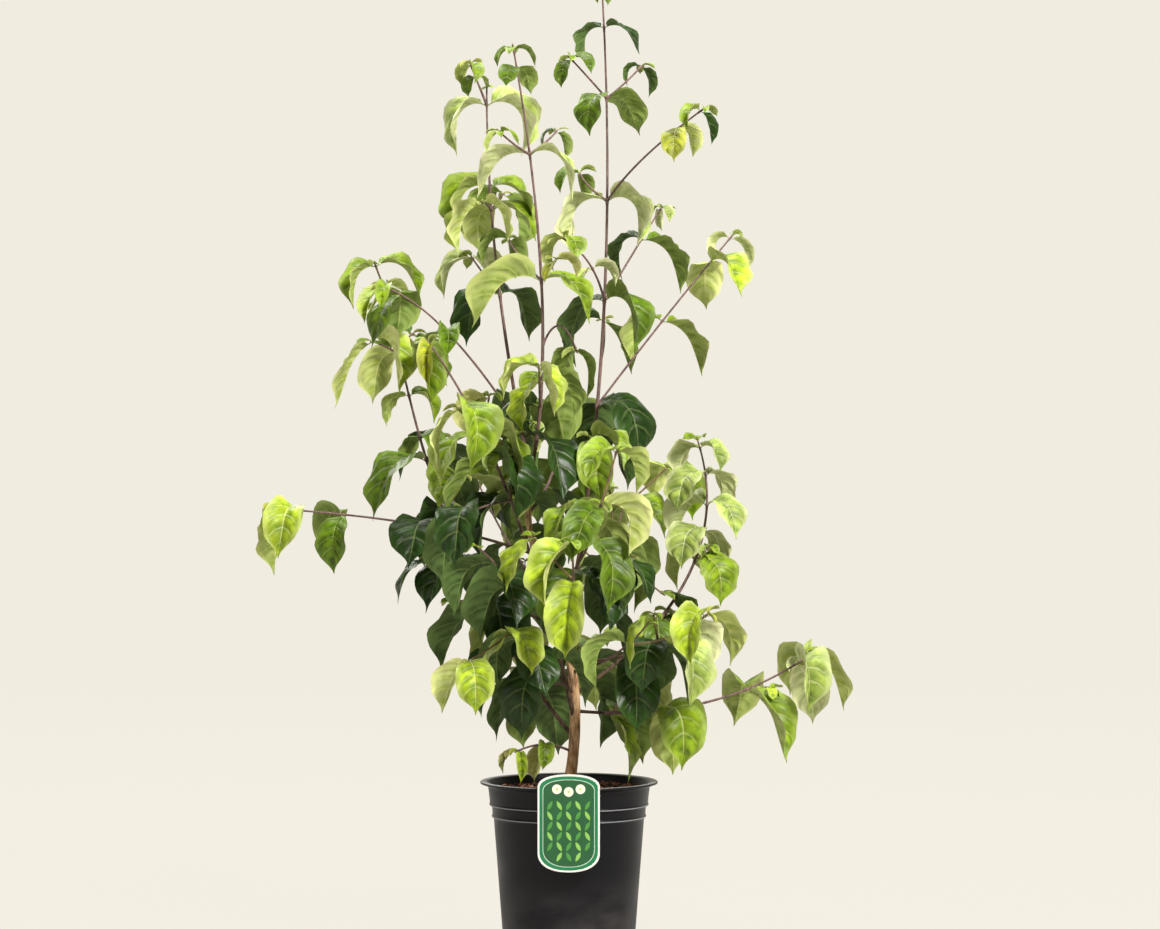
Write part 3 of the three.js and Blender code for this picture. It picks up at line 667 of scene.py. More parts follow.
def make_piece(name: str, surface: Surface, materials: Sequence[bpy.types.Material],
               nodes: Sequence[str] = (), crease: float = 50.0) -> bpy.types.Object:
    """Makes a surface a piece of the model, which rides on its one body.

    Args:
        name: The piece's name.
        surface: Its points and faces.
        materials: Its finishes, in the order of the faces' numbers.
        nodes: The CAD nodes that it stands for.
        crease: Edges that bend more than this stay sharp.

    Returns:
        The object, at the origin.
    """
    mesh = bpy.data.meshes.new(name)
    mesh.vertices.add(len(surface.points))
    mesh.vertices.foreach_set("co", (surface.points * MM).astype(np.float32).ravel())
    mesh.loops.add(len(surface.corners))
    mesh.loops.foreach_set("vertex_index", surface.corners.astype(np.int32))
    mesh.polygons.add(len(surface.sizes))
    mesh.polygons.foreach_set("loop_start", (np.cumsum(surface.sizes) - surface.sizes).astype(np.int32))
    mesh.polygons.foreach_set("material_index", surface.finish.astype(np.int32))
    mesh.uv_layers.new(name="leaf").uv.foreach_set("vector", surface.places.astype(np.float32).ravel())
    for material in materials:
        mesh.materials.append(material)
    mesh.update(calc_edges=True)
    mesh.validate()
    mesh.shade_smooth()
    mesh.set_sharp_from_angle(angle=math.radians(crease))
    piece = bpy.data.objects.new(name, mesh)
    bpy.context.scene.collection.objects.link(piece)
    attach(piece, "root")
    if nodes:
        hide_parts(*nodes)
    log.info("%s: %d points, %d faces", name, len(surface.points), len(surface.sizes))
    return piece


# Pot, soil and label

@dataclass(frozen=True)
class Pot:
    """The round nursery pot: a thin tapered wall with two steps under a rim that turns out."""

    height: float = 235.0
    wall: float = 2.0
    floor: float = 3.0
    foot: float = 87.5
    rim: float = 120.0
    shoulder: float = 109.0
    sides: int = 144
    holes: int = 4
    hole_radius: float = 7.0
    hole_ring: float = 62.0
    drill_sides: int = 24
    drill_margin: float = 5.0
    # The plastic, the grey of the painted floor reflection, and the pale of the painted highlights.
    colours: tuple[str, str, str] = ("0b0a10", "3a3738", "aaaaae")
    dust_levels: tuple[float, float] = (0.125, 0.04)
    dust_wisps: tuple[float, float] = (0.3, 0.62)
    # Heights, edge widths and shares of the thin painted highlights on the two ridges and the rim top.
    scuff_levels: tuple[float, ...] = (187.4, 203.2, 234.8)
    scuff_edge: tuple[float, float] = (0.0009, 0.0004)
    scuff_share: tuple[float, float] = (0.3, 0.65)
    roughness: tuple[float, float, float] = (0.36, 0.12, 0.14)

    def outside(self) -> list[Triple]:
        """Corners of the outer wall from the middle of the underside to the rim, with roundings."""
        top = self.height
        return [
            (0, 0, 0), (self.foot - 9, 0, 0.6), (self.foot, 0, 1.6), (self.foot + 0.7, 9, 0.8),
            (self.foot + 2.6, 34, 6.0), (101.6, 184.4, 0.6), (104.4, 186.6, 0.8), (104.4, 188.2, 0.8),
            (103.4, 190.0, 0.5), (103.9, 200.2, 0.6), (107.7, 202.4, 0.8), (107.7, 204.0, 0.8),
            (106.9, 206.0, 0.5), (self.shoulder - 0.9, 218, 3.0), (self.shoulder + 0.4, 227.4, 1.4),
            (self.rim - 4.4, 230.2, 2.0), (self.rim, 231.6, 0.9), (self.rim, top - 1.1, 1.1),
            (self.rim - 2.6, top, 1.2), (self.shoulder - 0.6, top - 1.4, 2.0),
        ]

    def inside(self) -> list[Triple]:
        """Corners of the inner wall from the rim down to the middle of the floor."""
        inner = self.shoulder - 1.8 - self.wall
        return [
            (inner, 222, 1.5), (inner - 1.4, 203, 1.0), (101.3, 200, 1.0), (99.8, 184, 1.0),
            (self.foot - 1.0, self.floor + 4, 3.0), (self.foot - 5, self.floor, 2.0), (0, self.floor, 0),
        ]

    def finish(self) -> bpy.types.Material:
        """Near-black plastic, made greyer towards the foot by a painted reflection of the floor, with thin
        painted highlights along its ridges and rim.
        """
        plastic, reflected_grey, painted_highlight = (linear(code) for code in self.colours)
        smooth, wispy, dulled = self.roughness
        shader = Shader("pot_black", Specular_IOR_Level=0.22)
        height = shader.node("SeparateXYZ", None, {0: shader.places()}, output=2)
        wisps = shader.noise(9.0, 4.0, shader.stretched((1.0, 1.0, 2.2)))
        # Painted reflection: the plastic turns lighter grey in wisps towards the foot, where the pale floor
        # would be reflected.
        floor_reflection = height.band(*self.dust_levels) * wisps.band(*self.dust_wisps)
        colour = shader.blend(plastic, reflected_grey, floor_reflection)
        # Painted highlights: thin pale bands at the heights of the ridges and the rim top, standing in for
        # the light they catch.
        least, more = self.scuff_share
        for level in self.scuff_levels:
            near = abs(height - level * MM).band(*self.scuff_edge)
            colour = shader.blend(colour, painted_highlight, near * (least + more * wisps))
        roughness = smooth + wispy * wisps.band(0.3, 0.7) + dulled * floor_reflection
        return shader.finish(colour, roughness, shader.noise(1400.0, 2.0), 0.00005)

    def build(self) -> None:
        """Turns the wall, cuts the drain holes and dresses the pot."""
        profile = rounded(self.outside() + self.inside())
        pot = make_piece("pot_wall", turned(profile, self.sides), [self.finish()],
                         ["pot"], 35.0)
        angle = (np.arange(self.holes) + 0.5) * 2 * math.pi / self.holes
        centre = np.stack([np.cos(angle), np.sin(angle)], -1) * self.hole_ring
        turn = np.arange(self.drill_sides) * 2 * math.pi / self.drill_sides
        ring = np.stack([np.cos(turn), np.sin(turn)], -1) * self.hole_radius
        level = np.array([-self.drill_margin, self.floor + self.drill_margin])
        grid = np.zeros((self.holes, 2, self.drill_sides, 3))
        grid[..., :2] = centre[:, None, None] + ring
        grid[..., 2] = level[None, :, None]
        poles = np.stack([np.stack([*centre.T, np.full(self.holes, z)], -1) for z in level], 1)
        drills = make_piece("drain_drills", skins(grid, poles), [])
        cut = pot.modifiers.new("drain", "BOOLEAN")
        cut.object = drills
        cut.operation = "DIFFERENCE"
        cut.solver = "EXACT"
        with bpy.context.temp_override(object=pot, active_object=pot):
            bpy.ops.object.modifier_apply(modifier="drain")
        bpy.data.objects.remove(drills)


@dataclass(frozen=True)
class ChipShape:
    """Bark chips: where they lie in millimetres and radians, and their proportions to half a length."""

    rim_gap: float = 5.0
    spread: tuple[float, float] = (0.018, 1.0)
    sizes: tuple[float, float] = (0.35, 1.0)
    ring: float = 0.55
    wobble: tuple[float, float] = (0.7, 1.15)
    width: float = 0.42
    thickness: float = 0.2
    tip: float = 0.45
    lift: float = 0.6
    pile: float = 1.4
    ends: tuple[float, float] = (0.75, 1.1)
    skew: float = 0.1


@dataclass(frozen=True)
class Soil:
    """Potting soil with an uneven top, strewn with chips of bark: their colours, numbers and sizes."""

    top: float = 222.6
    swell: float = 2.2
    radius: float = 105.0
    floor: float = 3.4
    rings: int = 30
    sides: int = 120
    wall: tuple[tuple[float, float], ...] = ((99.2, 186.0), (103.6, 214.0))
    foot: float = 82.0
    waves: tuple[tuple[float, float, int, float], ...] = ((14.0, 50.0, 7, 0.5), (4.5, 90.0, 8, 0.3))
    wave_period: int = 1000
    mound: float = 0.8
    mound_reach: float = 26.0
    chips: tuple[tuple[str, str, int, float], ...] = (
        ("dark", "261a15", 460, 7.0),
        ("red", "8a4e3b", 340, 8.5),
        ("tan", "c09a80", 150, 6.5),
    )

    def height(self, x: Array, y: Array) -> Array:
        """The top's height: two sizes of noise on the flat top, a little higher round the trunk.

        A wave is its size, its shift, its seed and its share, and the mound falls by e each reach.
        """
        waves = sum(share * value_noise(x / size + shift, y / size + shift, seed, self.wave_period)
                    for size, shift, seed, share in self.waves)
        mound = np.exp(-np.hypot(x, y) / self.mound_reach) * self.mound
        return self.top + self.swell * waves + mound

    def body(self) -> Surface:
        """The soil's closed body: the pot's inner wall turned, under the uneven top."""
        wall = [(0, self.floor), (self.foot, self.floor), *self.wall]
        rim = [(self.radius * (1 - i / self.rings), self.top) for i in range(self.rings)]
        surface = turned(wall + rim + [(0, self.top)], self.sides)
        x, y, z = surface.points.T
        on_top = z > self.top - 0.01
        z[on_top] = self.height(x[on_top], y[on_top])
        surface.points[:, 2] = z
        return surface

    def chip_surface(self, count: int, size: float, seed: int, shape: ChipShape = ChipShape()) -> Surface:
        """Bark chips: flattened lumps of two rings of six points, each point moved by dice, and poles.

        Args:
            count: How many chips.
            size: Half the length of a middling chip.
            seed: Which draw.
            shape: The chips' proportions.

        Returns:
            The chips, lying on the soil inside the pot and clear of the trunk.
        """
        draw = np.random.default_rng(seed)
        ring = (self.radius - shape.rim_gap) * np.sqrt(draw.uniform(*shape.spread, count))
        angle = draw.uniform(0, 2 * math.pi, count)
        centre = np.stack([ring * np.cos(angle), ring * np.sin(angle)], -1)
        half = size * draw.uniform(*shape.sizes, (count, 1, 1))
        turn = np.arange(6) * math.pi / 3
        rows = np.array([-shape.ring, shape.ring])[:, None]
        wobble = draw.uniform(*shape.wobble, (count, 2, 6))
        along = half * rows * np.ones(6) * wobble
        across = half * shape.width * np.cos(turn) * wobble
        lift = half * shape.thickness * np.sin(turn) * wobble
        yaw, tip = draw.uniform(0, 2 * math.pi, count), draw.uniform(-shape.tip, shape.tip, count)
        level = self.height(*centre.T) + shape.lift + draw.uniform(0, shape.pile, count)

        def placed(a: Array, b: Array, c: Array) -> Array:
            """Local length, width and height, tipped about the width and turned about Z."""
            shape = (count,) + (1,) * (a.ndim - 1)
            sine, cosine = np.sin(tip).reshape(shape), np.cos(tip).reshape(shape)
            out, up = a * cosine - c * sine, a * sine + c * cosine
            turn_sine, turn_cosine = np.sin(yaw).reshape(shape), np.cos(yaw).reshape(shape)
            return np.stack([
                centre[:, 0].reshape(shape) + out * turn_cosine - b * turn_sine,
                centre[:, 1].reshape(shape) + out * turn_sine + b * turn_cosine,
                level.reshape(shape) + up,
            ], -1)

        ends = half[:, :, 0] * np.array([-1.0, 1.0]) * draw.uniform(*shape.ends, (count, 2))
        poles = placed(ends, ends * shape.skew, np.zeros_like(ends))
        return skins(placed(along, across, lift), poles)

    def build(self) -> None:
        """Makes the soil and its three colours of chips."""
        earth = PlainFinish("soil_brown", "33231b", 0.95, 0.5, 160.0, 900.0, 0.0012, 0.15)
        make_piece("soil_bed", self.body(), [earth.material()], ["soil"])
        for seed, (name, colour, count, size) in enumerate(self.chips):
            finish = PlainFinish(f"bark_chip_{name}", colour, 0.85, 0.4, 220.0, 1200.0, 0.0004, 0.2)
            chips = self.chip_surface(count, size, 40 + seed)
            make_piece(f"bark_chips_{name}", chips, [finish.material()], (), 25.0)


@dataclass(frozen=True)
class PlantLabel:
    """The plant's label: a plate with bulging ends on the pot's rim, printed with a plain pattern."""

    width: float = 82.0
    height: float = 129.0
    top: float = 254.0
    arch: float = 17.0
    arch_below: float = 26.0
    arch_inset: float = 0.3
    roundness: float = 2 / 2.3
    back: float = -120.3
    thickness: float = 1.2
    border: float = 2.5
    film: float = 0.12
    hook_width: float = 30.0
    hook_reach: float = 18.4
    hook_drop: float = 9.4
    hook_rise: float = 6.0
    hook_bend: float = 1.2
    rim_top: float = 235.6
    line_inset: float = 4.2
    panel_inset: float = 5.0
    leaf_rows: int = 6
    leaf_columns: int = 5
    leaf_pitch: tuple[float, float] = (12.4, 13.5)
    leaf_length: float = 14.0
    leaf_turns: tuple[int, int] = (118, 62)
    leaf_drop: float = 44.0
    disc_pitch: float = 15.5
    disc_rise: float = 45.0
    disc_dip: float = 3.5
    disc_radius: float = 6.4
    heart_radius: float = 2.0

    def outline(self, inset: float, steps: int = 14) -> Array:
        """The plate's outline drawn in: straight sides between the halves of two ovals.

        An oval is the full curve |x / a|^2.3 + |z / b|^2.3 = 1, taken by the turn as powers of its
        cosine and sine. The upper half is one of height b above, moved up, and the lower half is one
        of a greater height b below, moved down.
        """
        half = self.width / 2 - inset
        turn = (np.arange(8 * steps) + 0.5) * 2 * math.pi / (8 * steps)
        x, z = (np.sign(wave) * np.abs(wave) ** self.roundness for wave in (np.cos(turn), np.sin(turn)))
        bulge = np.where(z > 0, self.arch, self.arch_below) - self.arch_inset * inset
        shift = np.sign(z) * (self.height / 2 - inset - bulge)
        return np.stack([half * x, bulge * z + shift + self.top - self.height / 2], -1)

    def lens(self, x: float, z: float, length: float, turn: float, plump: float = 0.36) -> Array:
        """A pointed oval: half a sine wave on either side of its axis, turned about its middle."""
        share = np.linspace(0, 1, 9)
        edge = plump * length / 2 * np.sin(math.pi * share) ** 0.9
        run = (share - 0.5) * length
        there, back = np.stack([run, edge], -1), np.stack([run, -edge], -1)[::-1]
        points = np.concatenate([there, back[1:-1]])
        angle = math.radians(turn)
        spin = np.array([[math.cos(angle), math.sin(angle)], [-math.sin(angle), math.cos(angle)]])
        return points @ spin + (x, z)

    def disc(self, x: float, z: float, radius: float, sides: int = 20) -> Array:
        """A circle's outline."""
        turn = np.arange(sides) * 2 * math.pi / sides
        return np.stack([x + radius * np.cos(turn), z + radius * np.sin(turn)], -1)

    def film_plate(self, outline: Array, layer: int) -> Surface:
        """A printed shape: a plate one film thick, standing on the layers under it."""
        face = self.back - self.thickness
        return plate(outline, face - self.film * layer, face - self.film * (layer - 1) + 0.02, 0.03)

    def hook(self) -> Surface:
        """The hook behind the plate: a flat strip carried over the rim and down inside it."""
        start, end = self.back - self.thickness / 2, self.back + self.hook_reach
        level, bend = self.rim_top + self.thickness / 2, self.hook_bend
        path = np.array([[start, level - self.hook_rise], [start, level - bend], [start + bend, level],
                         [end - bend, level], [end, level - bend], [end, level - self.hook_drop]])
        ahead = unit(np.gradient(path, axis=0))
        normal = np.stack([-ahead[:, 1], ahead[:, 0]], -1) * self.thickness / 2
        corners = [(-1, -1), (1, -1), (1, 1), (-1, 1)]
        grid = np.stack([np.concatenate([np.full((len(path), 1), x * self.hook_width / 2),
                                         path + side * normal], -1) for x, side in corners], 1)
        poles = np.concatenate([np.zeros((2, 1)), path[[0, -1]]], -1)
        return skins(grid[None], poles[None]).outward()

    def build(self) -> None:
        """Makes the plate, its hook and the printed shapes, each colour one piece."""
        body = plate(self.outline(0.0), self.back - self.thickness, self.back, 0.35)
        white = PlainFinish("label_white", "eef1ea", 0.34, 0.03, 20.0, 1200.0, 0.00003)
        make_piece("label_plate", Surface.joined([body, self.hook()]), [white.material()],
                   ["label"], 30.0)
        middle = self.top - self.height / 2
        across, up = self.leaf_pitch
        last = self.leaf_columns - 1
        leaves = [
            self.lens(across * (column - last // 2), middle - self.leaf_drop + up * row, self.leaf_length,
                      self.leaf_turns[(row + column) % 2])
            for row in range(self.leaf_rows) for column in range(self.leaf_columns)
            if row or column not in (0, last)
        ]
        discs = [self.disc(self.disc_pitch * (k - 1), middle + self.disc_rise - self.disc_dip * (k % 2),
                           self.disc_radius) for k in range(3)]
        layers = {
            "label_ground": ("1c7a4c", 1, [self.outline(self.border)]),
            "label_line": ("cfe3cf", 2, [self.outline(self.border + self.line_inset)]),
            "label_panel": ("235a33", 3, [self.outline(self.border + self.panel_inset)]),
            "label_leaves_light": ("8dc25c", 4, leaves[::2]),
            "label_leaves_dark": ("4f9440", 4, leaves[1::2]),
            "label_discs": ("f1efdb", 4, discs),
            "label_disc_hearts": ("c9d48a", 5, [
                self.disc(*disc.mean(0), self.heart_radius) for disc in discs]),
        }
        for name, (colour, layer, outlines) in layers.items():
            finish = PlainFinish(name, colour, 0.36, 0.05, 40.0, 1200.0, 0.00003)
            shapes = Surface.joined(self.film_plate(outline, layer) for outline in outlines)
            make_piece(name, shapes, [finish.material()], (), 30.0)


# Limbs

@dataclass(frozen=True)
class Curve:
    """A Bezier curve through its first and last handle."""

    handles: Array
    tangent_step: float = 1e-4
    chords: int = 200
    across_x: float = 0.7

    def at(self, place: float | Array) -> Array:
        """Points at places from 0 to 1: the handles weighted by Bernstein's polynomials."""
        place = np.asarray(place, float)[..., None]
        degree = len(self.handles) - 1
        weights = [math.comb(degree, k) * place ** k * (1 - place) ** (degree - k)
                   for k in range(degree + 1)]
        return sum(weight * handle for weight, handle in zip(weights, self.handles))

    def along(self, place: float | Array) -> Array:
        """The unit tangent: the difference of two points close on either side."""
        place, step = np.asarray(place, float), self.tangent_step
        return unit(self.at(np.minimum(place + step, 1)) - self.at(np.maximum(place - step, 0)))

    def length(self) -> float:
        """The summed length of many chords."""
        points = self.at(np.linspace(0, 1, self.chords + 1))
        return float(np.linalg.norm(np.diff(points, axis=0), axis=1).sum())

    def frame(self, place: float | Array) -> tuple[Array, Array, Array, Array]:
        """Point, tangent and two directions across the curve, the first as near to X as it can be.

        A curve that runs far along X takes Y instead.
        """
        chord = unit(self.handles[-1] - self.handles[0])
        guide = np.array([0.0, 1.0, 0.0] if abs(chord[0]) > self.across_x else [1.0, 0.0, 0.0])
        along = self.along(place)
        first = unit(guide - (along @ guide)[..., None] * along)
        return self.at(place), along, first, np.cross(along, first)

    @staticmethod
    def limb(root: Array, reach: Sequence[float], bow: Sequence[float]) -> "Curve":
        """A limb from its root by its reach, its middle handle drawn aside by the bow."""
        tip = root + np.array(reach, float)
        return Curve(np.stack([root, (root + tip) / 2 + np.array(bow, float), tip]))


@dataclass(frozen=True)
class TrunkShape:
    """The trunk's course and girth, from the soil to its fork."""

    handles: tuple[Triple, ...] = ((-1, 0, 221.3), (43, 0, 482), (-84, -8, 495), (-49, -10, 662))
    fork: float = 3.9
    foot: float = 8.0
    taper_power: float = 1.5
    flare: float = 4.0
    flare_height: float = 12.0
    soil_top: float = 221.0

    def curve(self) -> Curve:
        """The trunk's middle line."""
        return Curve(np.array(self.handles, float))

    def radius(self, place: Array) -> Array:
        """The radius falls with a power of the way left to the fork, and the foot flares."""
        height = self.curve().at(place)[..., 2] - self.soil_top
        rest = (self.foot - self.fork) * (1 - place) ** self.taper_power
        return self.fork + rest + self.flare * np.exp(-height / self.flare_height)


TRUNK = TrunkShape()
TIP_RADIUS = 1.2
SHOOT_SHARE = 0.62
LEAST_RADIUS = 1.7


@dataclass(frozen=True)
class Shoot:
    """A side shoot: its place on its stem, reach, bow, leaf pairs, leaf lengths, tones and turns."""

    at: float
    reach: Triple
    bow: Triple
    pairs: tuple[float, ...]
    leaf: tuple[float, ...]
    tones: str
    turn: float = 45.0
    turns: tuple[float, ...] = ()


@dataclass(frozen=True)
class Mass:
    """A mass of foliage: its stem on the trunk, the bare bough under it, and its side shoots."""

    name: str
    at: float
    reach: Triple
    bow: Triple
    radius: float
    bare: float
    pairs: tuple[float, ...]
    leaf: tuple[float, ...]
    tones: str
    turn: float = 45.0
    turns: tuple[float, ...] = ()
    spurs: float = 0.0
    shoots: tuple[Shoot, ...] = ()


# A mass's tones are partly painted light: darker ones for masses inside the crown paint shade, brighter
# ones at its outside paint sunlight.
MASSES = (
    Mass("middle_leader", 1, (-25, -60, 555), (50, -20, -75), 2.8, 0.05,
         (0.08, 0.18, 0.27, 0.51, 0.79, 0.96, 0.995), (126, 130, 60, 118, 108, 50, 42),
         "DDLFPMM", turns=(110, 20, 65, -20, 5, 60, -5), shoots=(
             Shoot(0.51, (-45, 70, 60), (-15, 10, 10), (0.97,), (66,), "M"),
             Shoot(0.51, (20, -60, 25), (0, 0, -5), (0.97,), (46,), "G"),
             Shoot(0.79, (-40, -65, 25), (0, -5, -5), (0.97,), (40,), "F"),
             Shoot(0.79, (35, 45, 35), (10, 5, 5), (0.97,), (40,), "M"),
             Shoot(0.18, (0, -115, 50), (0, -40, 0), (0.6, 0.97), (92, 80), "FL"),
             Shoot(0.35, (45, 80, -5), (0, 0, 60), (0.97,), (76,), "M"))),
    Mass("left_leader", 0.97, (-62, 100, 535), (-30, 20, 10), 2.7, 0.06,
         (0.08, 0.19, 0.45, 0.67, 0.73, 0.95), (120, 116, 106, 92, 96, 110),
         "DDDLFP", turns=(10, 100, 225, -50, 20, 5), shoots=(
             Shoot(0.11, (-180, -65, 190), (-10, -45, 65), (0.52, 0.88, 0.98), (80, 92, 58), "MMF",
                   turn=130),
             Shoot(0.45, (-40, 60, 55), (-5, 5, 5), (0.97,), (84,), "P", turn=5),
             Shoot(0.67, (-10, -75, 5), (-5, -10, 10), (0.97,), (88,), "L", turn=10),
             Shoot(0.67, (15, 85, 30), (0, 5, 5), (0.97,), (84,), "M"),
             Shoot(0.95, (-22, -10, 55), (0, 5, 0), (0.7, 0.97), (34, 40), "F"))),
    Mass("right_leader", 0.37, (50, 100, 905), (55, 60, -45), 3.2, 0.29,
         (0.32, 0.37, 0.53, 0.68, 0.83, 0.93, 0.99), (128, 124, 110, 114, 88, 78, 43),
         "DDDPMDM", turns=(50, -40, -45, -15, 45, -25, 60), shoots=(
             Shoot(0.37, (190, 100, 240), (-5, 0, 0), (0.49, 0.83, 0.98), (106, 94, 54), "FLP", turn=25),
             Shoot(0.53, (80, 90, 135), (5, -10, 10), (0.62, 0.98), (100, 34), "MP", turn=10),
             Shoot(0.53, (-55, -90, 80), (15, -10, 15), (0.44, 0.97), (52, 60), "PF"),
             Shoot(0.68, (130, -130, 115), (-30, 10, -5), (0.8, 0.97), (62, 48), "LM"),
             Shoot(0.68, (-38, 40, 42), (-10, 0, 0), (0.97,), (48,), "M"),
             Shoot(0.83, (-50, -45, 50), (5, -5, -5), (0.97,), (46,), "M"),
             Shoot(0.83, (50, 45, 50), (-5, -15, -10), (0.97,), (47,), "M"),
             Shoot(0.44, (5, 110, 60), (5, 0, 0), (0.97,), (96,), "D"),
             Shoot(0.32, (-8, -100, 0), (5, 0, -10), (0.9,), (88,), "F"))),
    Mass("left_arch", 0.13, (-195, -120, 515), (25, -40, 90), 3.2, 0.45,
         (0.5, 0.6, 0.68, 0.97), (120, 122, 116, 78), "DMFG", turns=(45, 135, 215, 95), spurs=0.2,
         shoots=(
             Shoot(0.7, (-25, -100, 25), (5, -20, 15), (0.95,), (116,), "L"),
             Shoot(0.5, (-55, -90, -15), (0, -10, 5), (0.97,), (110,), "D"))),
    Mass("outer_left", 0.1, (-258, 90, 620), (-70, -10, -80), 3.2, 0.21,
         (0.23, 0.34, 0.45, 0.55, 0.66, 0.71, 0.79, 0.87, 0.97),
         (122, 124, 122, 118, 130, 66, 66, 108, 70),
         "DDDDDMFFF", turns=(45, 135, 45, -45, 45, 135, 5, -45, 45), spurs=0.3, shoots=(
             Shoot(0.87, (-35, -70, 15), (-5, 10, 5), (0.97,), (114,), "L"),
             Shoot(0.87, (15, 60, 30), (-5, 10, 5), (0.97,), (84,), "M"),
             Shoot(0.66, (15, 80, 30), (-5, 25, -5), (0.97,), (94,), "D"),
             Shoot(0.91, (-15, -50, 60), (5, 0, 5), (0.97,), (66,), "L"))),
    Mass("long_left", 0.69, (-348, -55, 64), (62, 25, 15), 2.2, 0.47,
         (0.51, 0.8, 0.94, 0.99), (114, 98, 98, 48), "DMFF"),
    Mass("low_left", 0.2, (-88, -115, 88), (-20, -20, 35), 2.2, 0.3,
         (0.35, 0.65, 0.97), (114, 110, 98), "DDL", spurs=0.3),
    Mass("left_inner", 0.4, (-150, 25, 35), (-25, 5, 25), 2, 0.3,
         (0.38, 0.68, 0.97), (118, 114, 106), "DDD", spurs=0.35),
    Mass("right_arch", 0.2, (170, 110, 345), (145, 10, -20), 2.8, 0.26,
         (0.3, 0.55, 0.66, 0.76, 0.87, 0.97), (96, 88, 92, 88, 82, 70), "MFPPPP"),
    Mass("right_mid", 0.55, (105, 35, 40), (-5, -5, 25), 1.9, 0.3,
         (0.38, 0.68, 0.97), (112, 106, 98), "DDM", spurs=0.2),
    Mass("right_low", 0.29, (180, -130, 70), (15, -10, -30), 2.2, 0.35,
         (0.4, 0.61, 0.78, 0.98), (112, 110, 106, 98), "DDPL", spurs=0.15),
    Mass("low_right", 0.16, (325, 60, 75), (25, -40, -55), 2.4, 0.11,
         (0.14, 0.33, 0.68, 0.92, 0.98), (118, 114, 118, 106, 92), "FFFPL", spurs=0.1),
    Mass("front_right", 0.51, (65, -185, 130), (20, -25, -5), 2, 0.3,
         (0.36, 0.67, 0.97), (114, 110, 98), "MMF", spurs=0.35),
    Mass("front_low", 0.33, (5, -230, 150), (10, -10, -5), 2.2, 0.3,
         (0.36, 0.67, 0.97), (122, 116, 104), "DLL", spurs=0.5),
    Mass("front_left", 0.43, (-105, -215, 105), (-15, -15, 10), 2, 0.3,
         (0.36, 0.67, 0.97), (118, 112, 104), "DDM", spurs=0.4),
    Mass("right_front", 0.26, (100, -165, 75), (10, -10, -20), 2, 0.3,
         (0.4, 0.7, 0.97), (112, 108, 98), "DMF", spurs=0.2),
    Mass("back_top", 0.85, (40, 200, 150), (30, 40, -20), 2.2, 0.25,
         (0.3, 0.55, 0.8, 0.98), (116, 112, 104, 92), "DMMF", spurs=0.35),
    Mass("back_left", 0.49, (-110, 225, 165), (-5, 5, -25), 2.3, 0.3,
         (0.35, 0.56, 0.79, 0.98), (120, 116, 108, 96), "DDMF", spurs=0.35),
    Mass("back_right", 0.45, (95, 250, 150), (10, 15, -40), 2.3, 0.3,
         (0.35, 0.56, 0.79, 0.98), (120, 116, 108, 96), "DMMF", spurs=0.35),
    Mass("back_low", 0.27, (40, 280, 25), (-5, 20, -35), 2.2, 0.3,
         (0.35, 0.56, 0.79, 0.98), (120, 116, 110, 100), "DDMF", spurs=0.35),
    Mass("back_low_left", 0.23, (-110, 230, 30), (-20, -10, -30), 2.2, 0.3,
         (0.35, 0.56, 0.79, 0.98), (120, 116, 110, 100), "DDMM", spurs=0.35),
    Mass("foot_shoot", 0.07, (-75, -40, 5), (0, 0, 20), 1.8, 0,
         (0.5, 0.97), (56, 52), "LL"),
)


class Wood(Enum):
    """What a limb is, which sets its piece and its finish."""

    BOUGH = "bough"
    STEM = "stem"
    TWIG = "twig"


@dataclass
class Limb:
    """A stretch of a curve with its own taper, its leaf pairs and its place in the plant."""

    curve: Curve
    wood: Wood
    radius: float
    tip_radius: float = TIP_RADIUS
    start: float = 0.0
    end: float = 1.0
    pairs: tuple[float, ...] = ()
    leaf: tuple[float, ...] = ()
    turn: float = 45.0
    turns: tuple[float, ...] = ()
    tones: str = "M"
    mass: int = 0
    seed: int = 0

    def radius_at(self, place: float | Array) -> float | Array:
        """The radius falls evenly from the root of the curve to its tip."""
        return mix((self.radius, min(self.tip_radius, self.radius)), place)

    def pair_turn(self, i: int) -> float:
        """The turn of pair i round the limb: as stated, or a quarter turn on from the pair before."""
        if i < len(self.turns):
            return math.radians(self.turns[i])
        return math.radians(self.turn) + QUARTER * i


# Leaves

@dataclass(frozen=True)
class LeafRule:
    """How a leaf is shaped, how it leaves its twig, with how much play, and how it hangs."""

    width: float = 0.55
    stalk: float = 0.06
    stalk_half_width: float = 1.5
    angle: float = math.radians(56)
    pitch: tuple[float, float] = (math.radians(-30), math.radians(38))
    hang: tuple[float, float] = (math.radians(-72), math.radians(-108))
    arch: float = 0.55
    arch_turn: float = 0.86
    roll: float = math.radians(26)
    lean: float = math.radians(14)
    loose: float = math.radians(16)
    looser: float = math.radians(22)
    outwards: float = 0.5
    upright: float = 0.15
    least_size: float = 0.9
    size_play: float = 0.2
    tries: int = 7


RULE = LeafRule()
YOUNG = LeafRule(angle=math.radians(34), pitch=(math.radians(8), math.radians(62)),
                 hang=(math.radians(-8), math.radians(-66)))
SAMPLE_SHARES = (0.2, 0.34, 0.48, 0.62, 0.76, 0.9)
MASS_SEEDS, SHOOT_SEEDS, ATTEMPT_SEEDS = 1000, 100, 10
SPUR_SEED, SPUR_SEEDS, SPUR_LEAF_SEED = 900, 10, 7
FINE_SEED, FINE_SEEDS, YOUNG_SEED = 500, 20, 61


class Throw(IntEnum):
    """Which of a seed's values decides what."""

    FOLD = 61
    CURL = 62
    TWIST = 63
    SWAY = 64
    PLUMP = 65
    PHASE = 66
    WAVES = 67
    FLICK = 68
    TONE = 71
    BUD = 81


